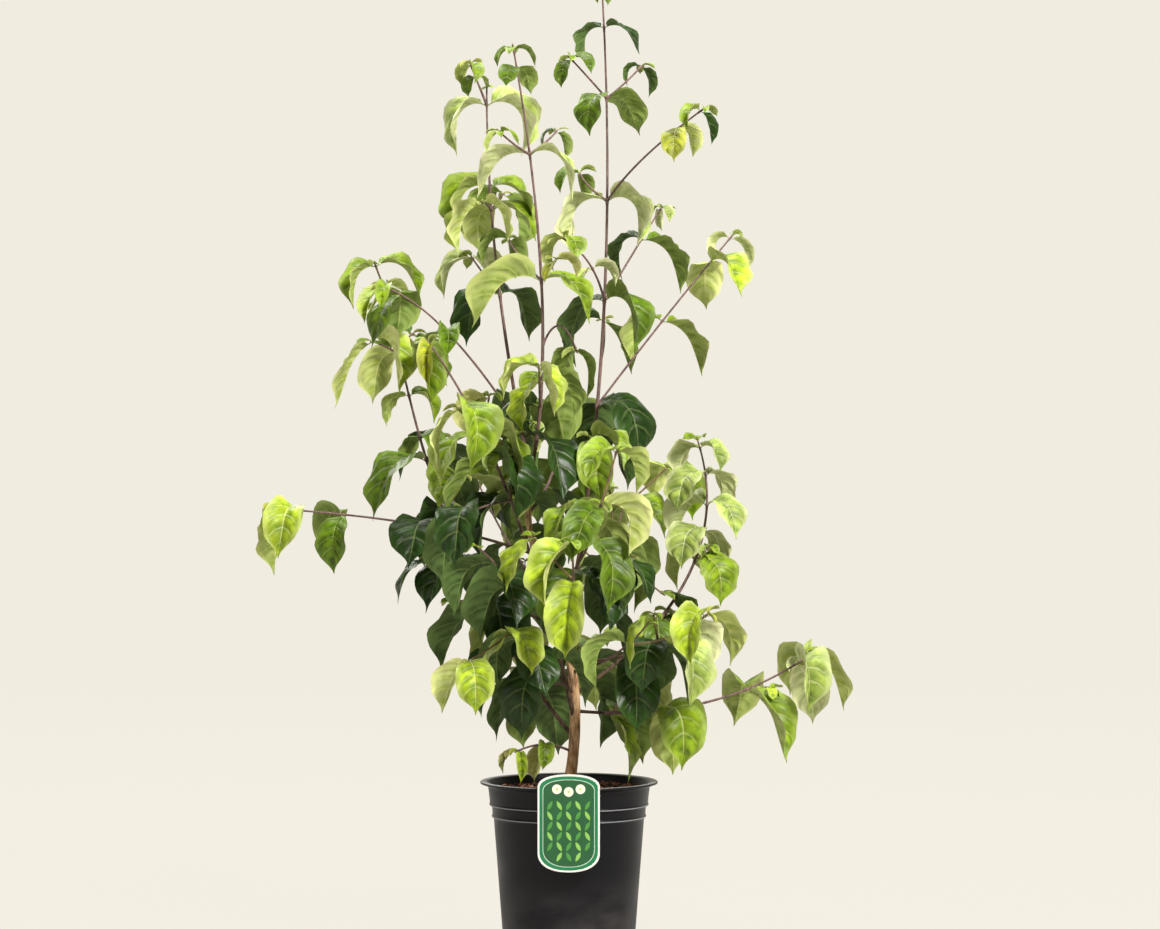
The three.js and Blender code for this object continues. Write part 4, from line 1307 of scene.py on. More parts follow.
@dataclass
class Leaves:
    """A number of leaves: their roots, headings, pitches at the root, turns, rolls and lengths."""

    root: Array
    heading: Array
    pitch: Array
    droop: Array
    roll: Array
    length: Array
    seed: Array
    tone: list[str]

    @staticmethod
    def gathered(leaves: Sequence["Leaves"]) -> "Leaves":
        """Several sets of leaves as one."""
        names = ("root", "heading", "pitch", "droop", "roll", "length", "seed")
        arrays = [np.concatenate([getattr(leaf, name) for leaf in leaves]) for name in names]
        return Leaves(*arrays, [tone for leaf in leaves for tone in leaf.tone])

    def chosen(self, which: Array) -> "Leaves":
        """The leaves at some of the places."""
        return Leaves(self.root[which], self.heading[which], self.pitch[which], self.droop[which],
                      self.roll[which], self.length[which], self.seed[which], [self.tone[i] for i in which])

    def spine(self, share: Array) -> tuple[Array, Array, Array]:
        """The midrib in two arcs: a tight one over the arch, then a slack one where the leaf hangs.

        Over an arc the pitch falls evenly from p to q, so with radius R the way out grows by
        R (sin p - sin q) and the rise by R (cos q - cos p).

        Args:
            share: Shares of the leaf's length, for each leaf or for all alike.

        Returns:
            The way out, the rise and the pitch at each share.
        """
        out, rise, start = 0.0, 0.0, 0.0
        pitch = self.pitch[:, None]
        spans = ((RULE.arch, RULE.arch_turn), (1.0, 1 - RULE.arch_turn))
        for end, part_of_turn in spans:
            turn = (part_of_turn * self.droop)[:, None]
            part = np.minimum((share - start) / (end - start), 1)
            part = part if start == 0 else np.maximum(part, 0)
            after = pitch - turn * part
            radius = self.length[:, None] * (end - start) / turn
            out = out + radius * (np.sin(pitch) - np.sin(after))
            rise = rise + radius * (np.cos(after) - np.cos(pitch))
            pitch, start = after, end
        return out, rise, pitch

    def blade(self, share: Array, across: Array, lift: Array, twist: Array | float = 0.0,
              sway: Array | float = 0.0) -> Array:
        """Points at shares of the midrib, distances across it, and lifts above it.

        The blade's plane is turned about the midrib by the roll and a twist, and the midrib sways
        aside by a share of the leaf's length.
        """
        out, rise, pitch = self.spine(share)
        heading = self.heading[:, None]
        face = -np.sin(pitch)[..., None] * heading + np.cos(pitch)[..., None] * UP
        side = np.cross(UP, heading)
        roll = (self.roll[:, None] + twist + 0 * pitch)[..., None]
        wide = side * np.cos(roll) + face * np.sin(roll)
        above = face * np.cos(roll) - side * np.sin(roll)
        aside = (self.length[:, None] * sway + 0 * pitch)[..., None]
        middle = self.root[:, None] + heading * out[..., None] + UP * rise[..., None] + side * aside
        return middle + wide * across[..., None] + above * lift[..., None]

    def half_width(self, share: Array) -> Array:
        """Half the blade's width: a broad oval drawn out to a point, sin(pi b^0.8)^0.8 at a share b."""
        blade = np.clip((share - RULE.stalk) / (1 - RULE.stalk), 1e-9, 1)
        wide = 0.5 * RULE.width * np.maximum(np.sin(math.pi * blade ** 0.8), 0) ** 0.8
        return np.where(share <= RULE.stalk, RULE.stalk_half_width, self.length[:, None] * wide)

    def samples(self) -> Array:
        """Points along the edges and the midrib that stand for the blade in tests of distance."""
        share = np.repeat(SAMPLE_SHARES, 3)
        half = self.half_width(share[None])
        across = half * np.tile([-1.0, 0.0, 1.0], len(SAMPLE_SHARES))
        share, across = np.append(share, 1.0)[None], np.append(across, [[0.0]], axis=1)
        return self.blade(share, across, np.zeros_like(across))


def aimed(limb: Limb, place: float, turn: float, length: float, seed: int, attempt: int,
          rule: LeafRule = RULE) -> Leaves:
    """One leaf: which way it leaves its twig and how it hangs, looser with each attempt.

    Args:
        limb: The twig.
        place: Where on the twig.
        turn: The angle round it.
        length: The leaf's length before dice.
        seed: The leaf's seed.
        attempt: How many aims have failed.
        rule: The rule of its age.

    Returns:
        The leaf.
    """
    def throw(which: int) -> float:
        """The attempt's own dice."""
        return float(dice(seed, ATTEMPT_SEEDS * attempt + which))

    point, along, first, second = limb.curve.frame(place)
    azimuth = turn + (rule.loose + rule.looser * attempt) * (throw(0) - 0.5)
    radial = first * math.cos(azimuth) + second * math.sin(azimuth)
    away = along * math.cos(rule.angle) + radial * math.sin(rule.angle)
    heading = (away + rule.outwards * radial) * (1, 1, 0)
    if np.linalg.norm(heading) < rule.upright:
        heading = along * (1, 1, 0)
    lean = math.asin(np.clip(away[2], -1, 1)) + rule.lean * (throw(1) - 0.5)
    pitch = float(np.clip(lean, *rule.pitch))
    droop = pitch - mix(rule.hang, throw(2))
    roll = rule.roll * (2 * throw(3) - 1)
    size = length * (rule.least_size + rule.size_play * throw(4))
    values = (np.array([value]) for value in (pitch, droop, roll, size, seed))
    return Leaves(point[None], unit(heading)[None], *values, ["M"])


@dataclass(frozen=True)
class LeafShape:
    """The fine blade of a leaf: a thin shell whose rows of faces follow the arched side veins."""

    veins: int = 5
    rows_to_vein: int = 3
    columns: tuple[float, ...] = (0.0, 0.09, 0.4, 0.73, 1.0)
    crowding: float = 1.4
    vein_arch: float = 0.78
    vein_bend: float = 1.5
    vein_spacing: float = 0.8
    pattern_veins: int = 5
    thickness: float = 0.42
    quilt: float = 0.034
    quilt_base: float = 0.4
    keel: float = 0.008
    keel_taper: float = 0.85
    rib: float = 0.003
    fold: tuple[float, float] = (18.0, 66.0)
    fold_when_old: tuple[float, float] = (14.0, 52.0)
    curl: tuple[float, float] = (6.0, 44.0)
    wave: float = 0.042
    wave_count: tuple[float, float] = (1.6, 3.2)
    wave_lag: float = 0.37
    twist: float = 26.0
    sway: float = 0.1
    flick: tuple[float, float] = (-0.05, 0.09)
    plump: tuple[float, float] = (0.94, 1.18)
    tip: float = 0.86
    tail: tuple[float, float] = (0.7, 0.97)
    stalk_sides: int = 5
    stalk_places: tuple[float, ...] = (-0.012, 0.0, 0.02, 0.045, 0.07, 0.1)
    stalk_girths: tuple[float, ...] = (0.95, 0.85, 0.62, 0.55, 0.5, 0.22)
    stalk_radius: float = 1.25
    stalk_leaf: float = 90.0
    stalk_sizes: tuple[float, float] = (0.4, 1.1)
    stalk_sink: float = 0.8

    @property
    def rows(self) -> int:
        """Rows between the blade's base and its tip."""
        return self.rows_to_vein * (self.veins + 1) - 1

    def outline(self, blade: Array) -> Array:
        """Half the width as a share of its greatest: a full oval with a drawn-out tip.

        The oval is sin(pi b^0.88)^0.56 at a share b of the blade, and along the tail 0.86 of it go.
        """
        place = np.clip(blade, 1e-9, 1)
        return np.sin(math.pi * place ** 0.88) ** 0.56 * (1 - self.tip * eased(*self.tail, place))

    def grid(self) -> tuple[Array, Array, Array, Array]:
        """The blade's grid, the same for every leaf.

        Row i of n leaves the midrib at s = (i / (n + 1))^1.4 and runs forward to the edge: at a
        share v of the half width it has come to s + 0.78 s^0.8 (1 - s) |v|^1.5 of the blade.

        Returns:
            Share along the blade, place across from -1 to 1, the height of the quilting from 0 on a
            vein to 1 midway, and the pattern places.
        """
        side = np.array(self.columns)
        across = np.concatenate([-side[:0:-1], side])
        row = np.arange(1, self.rows + 1)[:, None]
        start = (row / (self.rows + 1)) ** self.crowding
        forward = self.vein_arch * start ** self.vein_spacing * (1 - start)
        forward = forward * np.abs(across) ** self.vein_bend
        vein = row / self.rows_to_vein
        quilt = np.sin(math.pi * vein) ** 2 + 0 * forward
        places = np.stack(np.broadcast_arrays(0.5 + 0.5 * across, vein / (self.pattern_veins + 1)), -1)
        across = np.broadcast_to(across, forward.shape)
        return (start + forward).ravel(), across.ravel(), quilt.ravel(), places.reshape(-1, 2)

    def faces(self) -> tuple[Array, Array]:
        """Corners of one leaf's triangles: the upper side's, then the same ones turned round below.

        Point 0 is the blade's base and 1 its tip, then come the upper rows, then the lower rows
        without their two edge points, which both sides share. Every cell is cut from its hind
        corner at the midrib's side to its front corner at the edge's side.

        Returns:
            The triangles, and the places of the lower points in the grid.
        """
        columns = 2 * len(self.columns) - 1
        number = 2 + np.arange(self.rows * columns).reshape(self.rows, columns)
        inner = 2 + self.rows * columns + np.arange(self.rows * (columns - 2)).reshape(self.rows, -1)
        under = np.concatenate([number[:, :1], inner, number[:, -1:]], axis=1)
        middle = columns // 2
        faces = []
        for grid, order in ((number, 1), (under, -1)):
            left, right = grid[:, :middle + 1], grid[:, middle:]
            a, b, c, d = left[:-1, :-1], left[1:, :-1], left[1:, 1:], left[:-1, 1:]
            cells = [np.stack([a, b, d], -1), np.stack([b, c, d], -1)]
            a, b, c, d = right[:-1, :-1], right[1:, :-1], right[1:, 1:], right[:-1, 1:]
            cells += [np.stack([a, b, c], -1), np.stack([a, c, d], -1)]
            base = np.stack([np.zeros(columns - 1, int), grid[0, :-1], grid[0, 1:]], -1)
            tip = np.stack([np.ones(columns - 1, int), grid[-1, 1:], grid[-1, :-1]], -1)
            side = np.concatenate([*(cell.reshape(-1, 3) for cell in cells), base, tip])
            faces.append(side[:, ::order])
        lower = np.arange(self.rows * columns).reshape(self.rows, columns)[:, 1:-1].ravel()
        return np.concatenate(faces), lower

    def build(self, leaves: Leaves) -> Surface:
        """Bends the grid to every leaf.

        Across the blade the slope falls evenly from the fold at the midrib by the curl to the edge,
        so at a share v of the half width w the way out is w (sin f - sin(f - c v)) / c and the rise
        is w (cos(f - c v) - cos f) / c. Between the veins the blade bulges as sin(pi v^0.8). The edge
        is wavy: a sine along the blade that grows as v^2.4. With shares s of the leaf, the midrib
        sways as s^3 and flicks its tip as s^4, and the whole twists. The underside lies a thickness
        below the slope, more at the midrib and under the veins.

        Args:
            leaves: The leaves.

        Returns:
            The shells, upper side with finish 0 and underside with finish 1.
        """
        blade, across, quilt, places = self.grid()
        count = len(leaves.length)
        length, seed = leaves.length[:, None], leaves.seed[:, None]
        old = np.array([tone in OLD_TONES for tone in leaves.tone])[:, None]
        throw = dice(seed, Throw.FOLD)
        fold = np.radians(np.where(old, mix(self.fold_when_old, throw), mix(self.fold, throw)))
        curl = np.radians(spread(seed, Throw.CURL, *self.curl))
        twist = math.radians(self.twist) * (2 * dice(seed, Throw.TWIST) - 1)
        sway = self.sway * (2 * dice(seed, Throw.SWAY) - 1)
        flick = spread(seed, Throw.FLICK, *self.flick) * length
        reach = np.abs(across)
        outline = self.outline(blade)
        half = 0.5 * RULE.width * length * spread(seed, Throw.PLUMP, *self.plump) * outline
        slope = fold - curl * reach
        out = half * (np.sin(fold) - np.sin(slope)) / curl
        rise = half * (np.cos(slope) - np.cos(fold)) / curl
        bulge = np.sin(math.pi * reach ** 0.8) * outline
        phase = 2 * math.pi * (dice(seed, Throw.PHASE) + self.wave_lag * (across > 0))
        waves = spread(seed, Throw.WAVES, *self.wave_count)
        ripple = self.wave * length * reach ** 2.4 * np.sin(2 * math.pi * waves * blade + phase)
        ripple = ripple * np.sin(math.pi * np.clip(blade, 0, 1) ** 0.7)
        share = RULE.stalk + (1 - RULE.stalk) * blade
        bulges = self.quilt * length * bulge * (quilt - self.quilt_base)
        lift = rise + bulges + ripple + flick * share ** 4
        turn, bend = twist * blade, sway * share ** 3
        sign = np.sign(across)
        upper = leaves.blade(share[None], sign * out, lift, turn, bend)
        keel = self.keel * length * (1 - self.keel_taper * blade) * (reach == 0)
        depth = self.thickness + keel + self.rib * length * bulge * (1 - quilt)
        below = leaves.blade(share[None], sign * (out + depth * np.sin(slope)),
                             lift - depth * np.cos(slope), turn, bend)
        ends = np.array([RULE.stalk, 1.0])
        poles = leaves.blade(ends[None], np.zeros((count, 2)), flick * [[0, 1]], twist * [[0, 1]],
                             sway * ends ** 3)
        faces, lower = self.faces()
        points = np.concatenate([poles, upper, below[:, lower]], axis=1)
        tip_place = (self.veins + 1) / (self.pattern_veins + 1)
        point_places = np.concatenate([[[0.5, 0.0], [0.5, tip_place]], places, places[lower]])
        return Surface(
            points.reshape(-1, 3),
            repeated(faces, count, points.shape[1]),
            np.full(count * len(faces), 3),
            np.tile(point_places[faces.ravel()], (count, 1)),
            np.tile(np.arange(len(faces)) >= len(faces) // 2, count).astype(int),
        )

    def stalks(self, leaves: Leaves) -> Surface:
        """The leaves' stalks: rods along the midrib's first stretch, slimmer midway, sunk a little."""
        sides = self.stalk_sides
        share = np.array(self.stalk_places)
        angle = np.tile(np.arange(sides) * 2 * math.pi / sides, len(share))
        count = len(leaves.length)
        size = np.clip(leaves.length / self.stalk_leaf, *self.stalk_sizes)[:, None]
        radius = np.repeat(self.stalk_girths, sides)[None] * size * self.stalk_radius
        lift = radius * (np.cos(angle) - self.stalk_sink)
        grid = leaves.blade(np.repeat(share, sides)[None], radius * np.sin(angle), lift)
        ends = leaves.blade(share[[0, -1]][None], np.zeros((count, 2)), np.zeros((count, 2)))
        return skins(grid.reshape(count, len(share), sides, 3), ends)


SMALL_SHAPE = LeafShape(veins=3, rows_to_vein=2, columns=(0.0, 0.5, 1.0), thickness=0.3,
                        fold=(24.0, 66.0), wave=0.014, quilt=0.02)
SMALL_LEAF = 62.0


# The crown

@dataclass(frozen=True)
class SpurRule:
    """How a short twig stands in the axil of a leaf pair, and when it has room."""

    length: tuple[float, float] = (45.0, 80.0)
    angle: float = math.radians(58)
    lift: float = 0.35
    leaf: float = 88.0
    clear: float = 14.0
    aside: float = math.radians(25)
    sag: float = -4.0
    pair: float = 0.97
    tests: tuple[float, ...] = (0.6, 0.8, 1.0)


@dataclass(frozen=True)
class TipRule:
    """How the finer twigs and the young leaves at the tips grow, closer together than the rest."""

    share: float = 0.2
    before: float = 0.93
    ease: float = 0.62
    clear_other: float = 9.0
    radius: tuple[float, float] = (1.1, 0.7)
    pairs: tuple[float, float] = (0.5, 0.97)
    leaves: tuple[tuple[float, float], ...] = ((34.0, 50.0), (22.0, 40.0))
    young_place: float = 0.995
    young_size: tuple[float, float] = (17.0, 28.0)
    golden: float = 0.3


@dataclass
class Crown:
    """All that grows: limbs and leaves by the plant's rule, with the points that stand for them."""

    spur: SpurRule = SpurRule()
    fine: SpurRule = SpurRule(length=(20.0, 46.0), angle=math.radians(50), lift=0.45, clear=6.0)
    tips: TipRule = TipRule()
    clear_other: float = 13.0
    clear_same: float = 7.0
    clear_limb: float = 9.0
    clear_pot: tuple[float, float] = (6.0, 5.0)
    clear_label: tuple[float, float, float, float] = (6.0, 8.0, 16.0, 8.0)
    inside_rim: float = 101.8
    root_zone: float = 30.0
    search_margin: float = 5.0
    sample_step: float = 9.0
    ease: float = 1.0
    limbs: list[Limb] = field(default_factory=list)
    leaves: list[Leaves] = field(default_factory=list)
    young: list[Leaves] = field(default_factory=list)
    points: Array = field(default_factory=lambda: np.zeros((0, 3)))
    owner: Array = field(default_factory=lambda: np.zeros(0, int))
    is_leaf: Array = field(default_factory=lambda: np.zeros(0, bool))

    def remember(self, points: Array, mass: int, leaf: bool) -> None:
        """Keeps points of something that has grown."""
        self.points = np.concatenate([self.points, points])
        self.owner = np.concatenate([self.owner, np.full(len(points), mass)])
        self.is_leaf = np.concatenate([self.is_leaf, np.full(len(points), leaf)])

    def remember_limb(self, curve: Curve, mass: int) -> None:
        """Keeps a limb's points, a step apart."""
        count = math.ceil(curve.length() / self.sample_step)
        self.remember(curve.at(np.arange(count + 1) / count), mass, False)

    def near_pot(self, points: Array) -> Array:
        """Whether points lie in or close to the pot, its soil or its label."""
        x, y, z = points.T
        radius = np.hypot(x, y)
        around, over = self.clear_pot
        top = np.where(radius < self.inside_rim, TRUNK.soil_top, Pot.height) + over
        at_rim = (radius < Pot.rim + around) & (z < top)
        beside, behind, before, above = self.clear_label
        at_label = (np.abs(x) < PlantLabel.width / 2 + beside) & (z < PlantLabel.top + above)
        return at_rim | (at_label & (y < behind - Pot.rim) & (y > -Pot.rim - before))

    def has_room(self, leaf: Leaves, mass: int) -> bool:
        """Whether a leaf keeps its distance from the pot and from everything that grew before it."""
        samples = leaf.samples()[0]
        if self.near_pot(samples).any():
            return False
        away = np.linalg.norm(self.points - leaf.root[0], axis=1)
        own = self.owner == mass
        near = away <= leaf.length[0] + self.clear_other + self.search_margin
        near &= ~(~self.is_leaf & own & (away < self.root_zone))
        clear = np.where(self.is_leaf, np.where(own, self.clear_same, self.clear_other), self.clear_limb)
        gaps = np.linalg.norm(samples[:, None] - self.points[near][None], axis=2)
        return not (gaps < self.ease * clear[near]).any()

    def grow_leaf(self, limb: Limb, place: float, turn: float, length: float, seed: int,
                  tone: str) -> None:
        """Grows a leaf, aimed anew while its sample points lack room, and left out where nothing fits."""
        for attempt in range(RULE.tries):
            leaf = aimed(limb, place, turn, length, seed, attempt)
            if self.has_room(leaf, limb.mass):
                self.remember(leaf.samples()[0], limb.mass, True)
                leaf.tone = [tone]
                self.leaves.append(leaf)
                return

    @staticmethod
    def tone_of(limb: Limb, age: float, seed: int) -> str:
        """The tone for a leaf at a share of the way from a shoot's oldest pair to its youngest.

        Now and then dice shift it one step up or down the ladder of tones.
        """
        tone = limb.tones[round(age * (len(limb.tones) - 1))]
        throw = float(dice(seed, Throw.TONE))
        step = (throw > TONE_SHIFTS[1]) - (throw < TONE_SHIFTS[0])
        if tone not in LADDER:
            return tone
        return LADDER[min(len(LADDER) - 1, max(0, LADDER.index(tone) + step))]

    def grow_pairs(self, limb: Limb) -> None:
        """Grows leaves in opposite pairs along a limb."""
        count = len(limb.pairs)
        for i, place in enumerate(limb.pairs):
            age = i / (count - 1) if count > 1 else 1.0
            for side in (0, 1):
                turn = limb.pair_turn(i) + math.pi * side
                seed = limb.seed + 2 * i + side
                tone = self.tone_of(limb, age, seed)
                self.grow_leaf(limb, place, turn, limb.leaf[i], seed, tone)

    def grow_spur(self, limb: Limb, place: float, i: int, seed: int, rule: SpurRule) -> Limb | None:
        """Grows a short twig in the axil of pair i where it has room.

        Args:
            limb: The stem that bears it.
            place: The pair's place on the stem.
            i: The pair's number, which sets the turn round the stem.
            seed: The twig's seed.
            rule: Its size and clearances.

        Returns:
            The twig, or None where it would touch another limb or the pot.
        """
        point, along, first, second = limb.curve.frame(place)
        azimuth = limb.pair_turn(i) + rule.aside
        azimuth += 0 if dice(seed, 1) < 0.5 else math.pi
        radial = first * math.cos(azimuth) + second * math.sin(azimuth)
        away = along * math.cos(rule.angle) + radial * math.sin(rule.angle) + UP * rule.lift
        reach = unit(away) * mix(rule.length, float(dice(seed, 2)))
        curve = Curve.limb(point, reach, (0, 0, rule.sag))
        ends = curve.at(np.array(rule.tests))
        limbs = self.points[~self.is_leaf]
        gaps = np.linalg.norm(ends[:, None] - limbs[None], axis=2)
        if (gaps < rule.clear).any() or self.near_pot(ends).any():
            return None
        self.remember_limb(curve, limb.mass)
        return Limb(curve, Wood.TWIG, LEAST_RADIUS, pairs=(rule.pair,), leaf=(rule.leaf,),
                    tones=limb.tones, mass=limb.mass, seed=seed + SPUR_LEAF_SEED)

    def grow(self) -> None:
        """Grows stems, spurs and leaves by the frame's rule, then finer twigs and young tips."""
        trunk = TRUNK.curve()
        families: list[list[Limb]] = []
        for index, mass in enumerate(MASSES):
            seed = MASS_SEEDS * (index + 1)
            curve = Curve.limb(trunk.at(mass.at), mass.reach, mass.bow)
            main = Limb(curve, Wood.STEM, mass.radius, start=mass.bare, pairs=mass.pairs, leaf=mass.leaf,
                        turn=mass.turn, turns=mass.turns, tones=mass.tones, mass=index, seed=seed)
            family = [main]
            for i, shoot in enumerate(mass.shoots):
                root = max(LEAST_RADIUS, float(main.radius_at(shoot.at)) * SHOOT_SHARE)
                family.append(Limb(
                    Curve.limb(curve.at(shoot.at), shoot.reach, shoot.bow), Wood.STEM, root,
                    pairs=shoot.pairs, leaf=shoot.leaf, turn=shoot.turn, turns=shoot.turns,
                    tones=shoot.tones, mass=index, seed=seed + SHOOT_SEEDS * (i + 1)))
            families.append(family)
        self.remember_limb(trunk, -1)
        for family in families:
            for limb in family:
                self.remember_limb(limb.curve, limb.mass)
        for mass, family in zip(MASSES, families):
            main = family[0]
            for i, place in enumerate(mass.pairs):
                seed = main.seed + SPUR_SEED + SPUR_SEEDS * i
                if dice(seed, 0) < mass.spurs:
                    spur = self.grow_spur(main, place, i, seed, self.spur)
                    family.extend([spur] if spur else [])
        for family in families:
            for limb in family:
                self.grow_pairs(limb)
        for mass, family in zip(MASSES, families):
            if mass.bare:
                bough = family[0]
                self.limbs.append(Limb(bough.curve, Wood.BOUGH, bough.radius, end=mass.bare,
                                       mass=bough.mass, seed=bough.seed))
            self.limbs.extend(family)
        self.grow_fine([limb for family in families for limb in family])

    def grow_fine(self, limbs: Sequence[Limb]) -> None:
        """Grows finer twigs in the axils of the leaf pairs, and young leaves at every tip."""
        tips = self.tips
        self.ease, self.clear_other = tips.ease, tips.clear_other
        twigs = []
        for limb in limbs:
            for i, place in enumerate(limb.pairs):
                seed = limb.seed + FINE_SEED + FINE_SEEDS * i
                if place < tips.before and dice(seed, 0) < tips.share:
                    twig = self.grow_spur(limb, place, i, seed, self.fine)
                    twigs.extend([twig] if twig else [])
        for twig in twigs:
            twig.radius, twig.tip_radius = tips.radius
            twig.pairs = tips.pairs
            twig.leaf = tuple(mix(span, float(dice(twig.seed, which)))
                              for which, span in enumerate(tips.leaves, 3))
            twig.tones = twig.tones[-2:]
            self.grow_pairs(twig)
        self.limbs.extend(twigs)
        for limb in [*limbs, *twigs]:
            turn = limb.pair_turn(len(limb.pairs) - 1) + QUARTER
            size = mix(tips.young_size, float(dice(limb.seed, 5)))
            for side in (0, 1):
                seed = limb.seed + YOUNG_SEED + side
                leaf = aimed(limb, tips.young_place, turn + math.pi * side, size, seed, 0, YOUNG)
                leaf.tone = ["G" if dice(limb.seed, 6) < tips.golden else "F"]
                self.young.append(leaf)


ROD_SIZES = {Wood.BOUGH: (14, 3.0, 0.275), Wood.STEM: (8, 4.5, 0.12), Wood.TWIG: (6, 4.5, 0.05)}


@dataclass(frozen=True)
class Bark:
    """Meshes of the wood: the trunk and boughs with the bark's relief, stems and twigs, and buds."""

    trunk_sides: int = 48
    trunk_step: float = 1.8
    trunk_relief: float = 0.55
    scars: tuple[float, ...] = (0.16, 0.31, 0.44, 0.6, 0.77)
    scar: float = 0.09
    scar_length: float = 5.0
    noises: tuple[tuple[int, float], ...] = ((11, 17.0), (23, 5.5), (4, 26.0))
    noise_shares: tuple[float, float, float] = (0.55, 0.45, 0.7)
    dome: float = 0.35
    overlap: float = 3.0
    collar: float = 0.45
    collar_length: float = 5.0
    swelling: float = 0.5
    swelling_length: float = 3.2

    def rod(self, curve: Curve, start: float, end: float, radius: Callable[[Array], Array],
            sides: int, step: float, depth: float, seed: int) -> Surface:
        """A rod along a curve: rings of points at a radius roughened by furrows, cracks and lumps.

        Each is noise with a number of cells round the rod and a length along it.

        Args:
            curve: Its middle line.
            start: Where on the curve it begins.
            end: Where it ends.
            radius: The smooth radius at places on the curve.
            sides: The points of a ring.
            step: The distance between rings.
            depth: The depth of the relief, in millimetres.
            seed: Which noise.

        Returns:
            The closed rod.
        """
        rows = max(3, math.ceil(curve.length() * (end - start) / step))
        place = np.linspace(start, end, rows + 1)
        point, along, first, second = curve.frame(place)
        way = place * curve.length()
        angle = np.arange(sides) * 2 * math.pi / sides
        turn = (angle / (2 * math.pi))[None]
        furrows, cracks, lumps = (value_noise(turn * cells, way[:, None] / size, seed + k, cells)
                                  for k, (cells, size) in enumerate(self.noises))
        furrow, crack, lump = self.noise_shares
        relief = depth * (furrow * furrows - crack * np.abs(cracks) + lump * lumps)
        size = (radius(place)[:, None] + relief)[..., None]
        ring = first[:, None] * np.cos(angle)[:, None] + second[:, None] * np.sin(angle)[:, None]
        grid = point[:, None] + ring * size
        ends = np.array([-self.dome, self.dome])[:, None] * radius(place[[0, -1]])[:, None]
        poles = point[[0, -1]] + along[[0, -1]] * ends
        return skins(grid[None], poles[None])

    def limb(self, limb: Limb) -> Surface:
        """A limb's rod, thicker in a collar at its root and swollen at each pair of leaves."""
        length = limb.curve.length()
        start = limb.start - (self.overlap / length if limb.start else 0.0)

        def radius(place: Array) -> Array:
            """The even taper with its collar and swellings."""
            way = place * length
            size = limb.radius_at(place) * (1 + self.collar * np.exp(-way / self.collar_length))
            for pair in limb.pairs:
                beyond = (way - pair * length) / self.swelling_length
                size = size * (1 + self.swelling * np.exp(-beyond ** 2))
            return size

        return self.rod(limb.curve, start, limb.end, radius, *ROD_SIZES[limb.wood], limb.seed)

    def trunk(self) -> Surface:
        """The trunk: scars of old nodes swell it, and its foot spreads into the soil."""
        curve = TRUNK.curve()

        def radius(place: Array) -> Array:
            """The frame's girth with a narrow swelling at each scar."""
            beyond = (place[:, None] - np.array(self.scars)) * curve.length() / self.scar_length
            return TRUNK.radius(place) * (1 + self.scar * np.exp(-beyond ** 2).sum(1))

        return self.rod(curve, 0.0, 1.0, radius, self.trunk_sides, self.trunk_step, self.trunk_relief, 3)

    @staticmethod
    def buds(limbs: Sequence[Limb]) -> Surface:
        """Buds at the tips: drops with a radius as (1 - x)^0.6 sin(pi (x + 0.15) / 1.3) at a share x."""
        frames = [limb.curve.frame(1.0) for limb in limbs]
        point, along, first, second = (np.stack(parts) for parts in zip(*frames))
        seed = np.array([limb.seed for limb in limbs])
        length = spread(seed, Throw.BUD, 3.6, 6.4)[:, None, None, None]
        share = np.array([0.0, 0.2, 0.45, 0.72, 0.9])
        girth = (1 - share) ** 0.6 * np.sin(math.pi * (share + 0.15) / 1.3) * 0.34
        angle = (np.arange(6) * math.pi / 3)[:, None]
        ring = first[:, None, None] * np.cos(angle) + second[:, None, None] * np.sin(angle)
        middle = point[:, None, None] + along[:, None, None] * length * share[:, None, None]
        grid = middle + ring * girth[:, None, None] * length
        poles = np.stack([point - 0.3 * along, point + along * length[:, 0, 0]], 1)
        return skins(grid, poles)


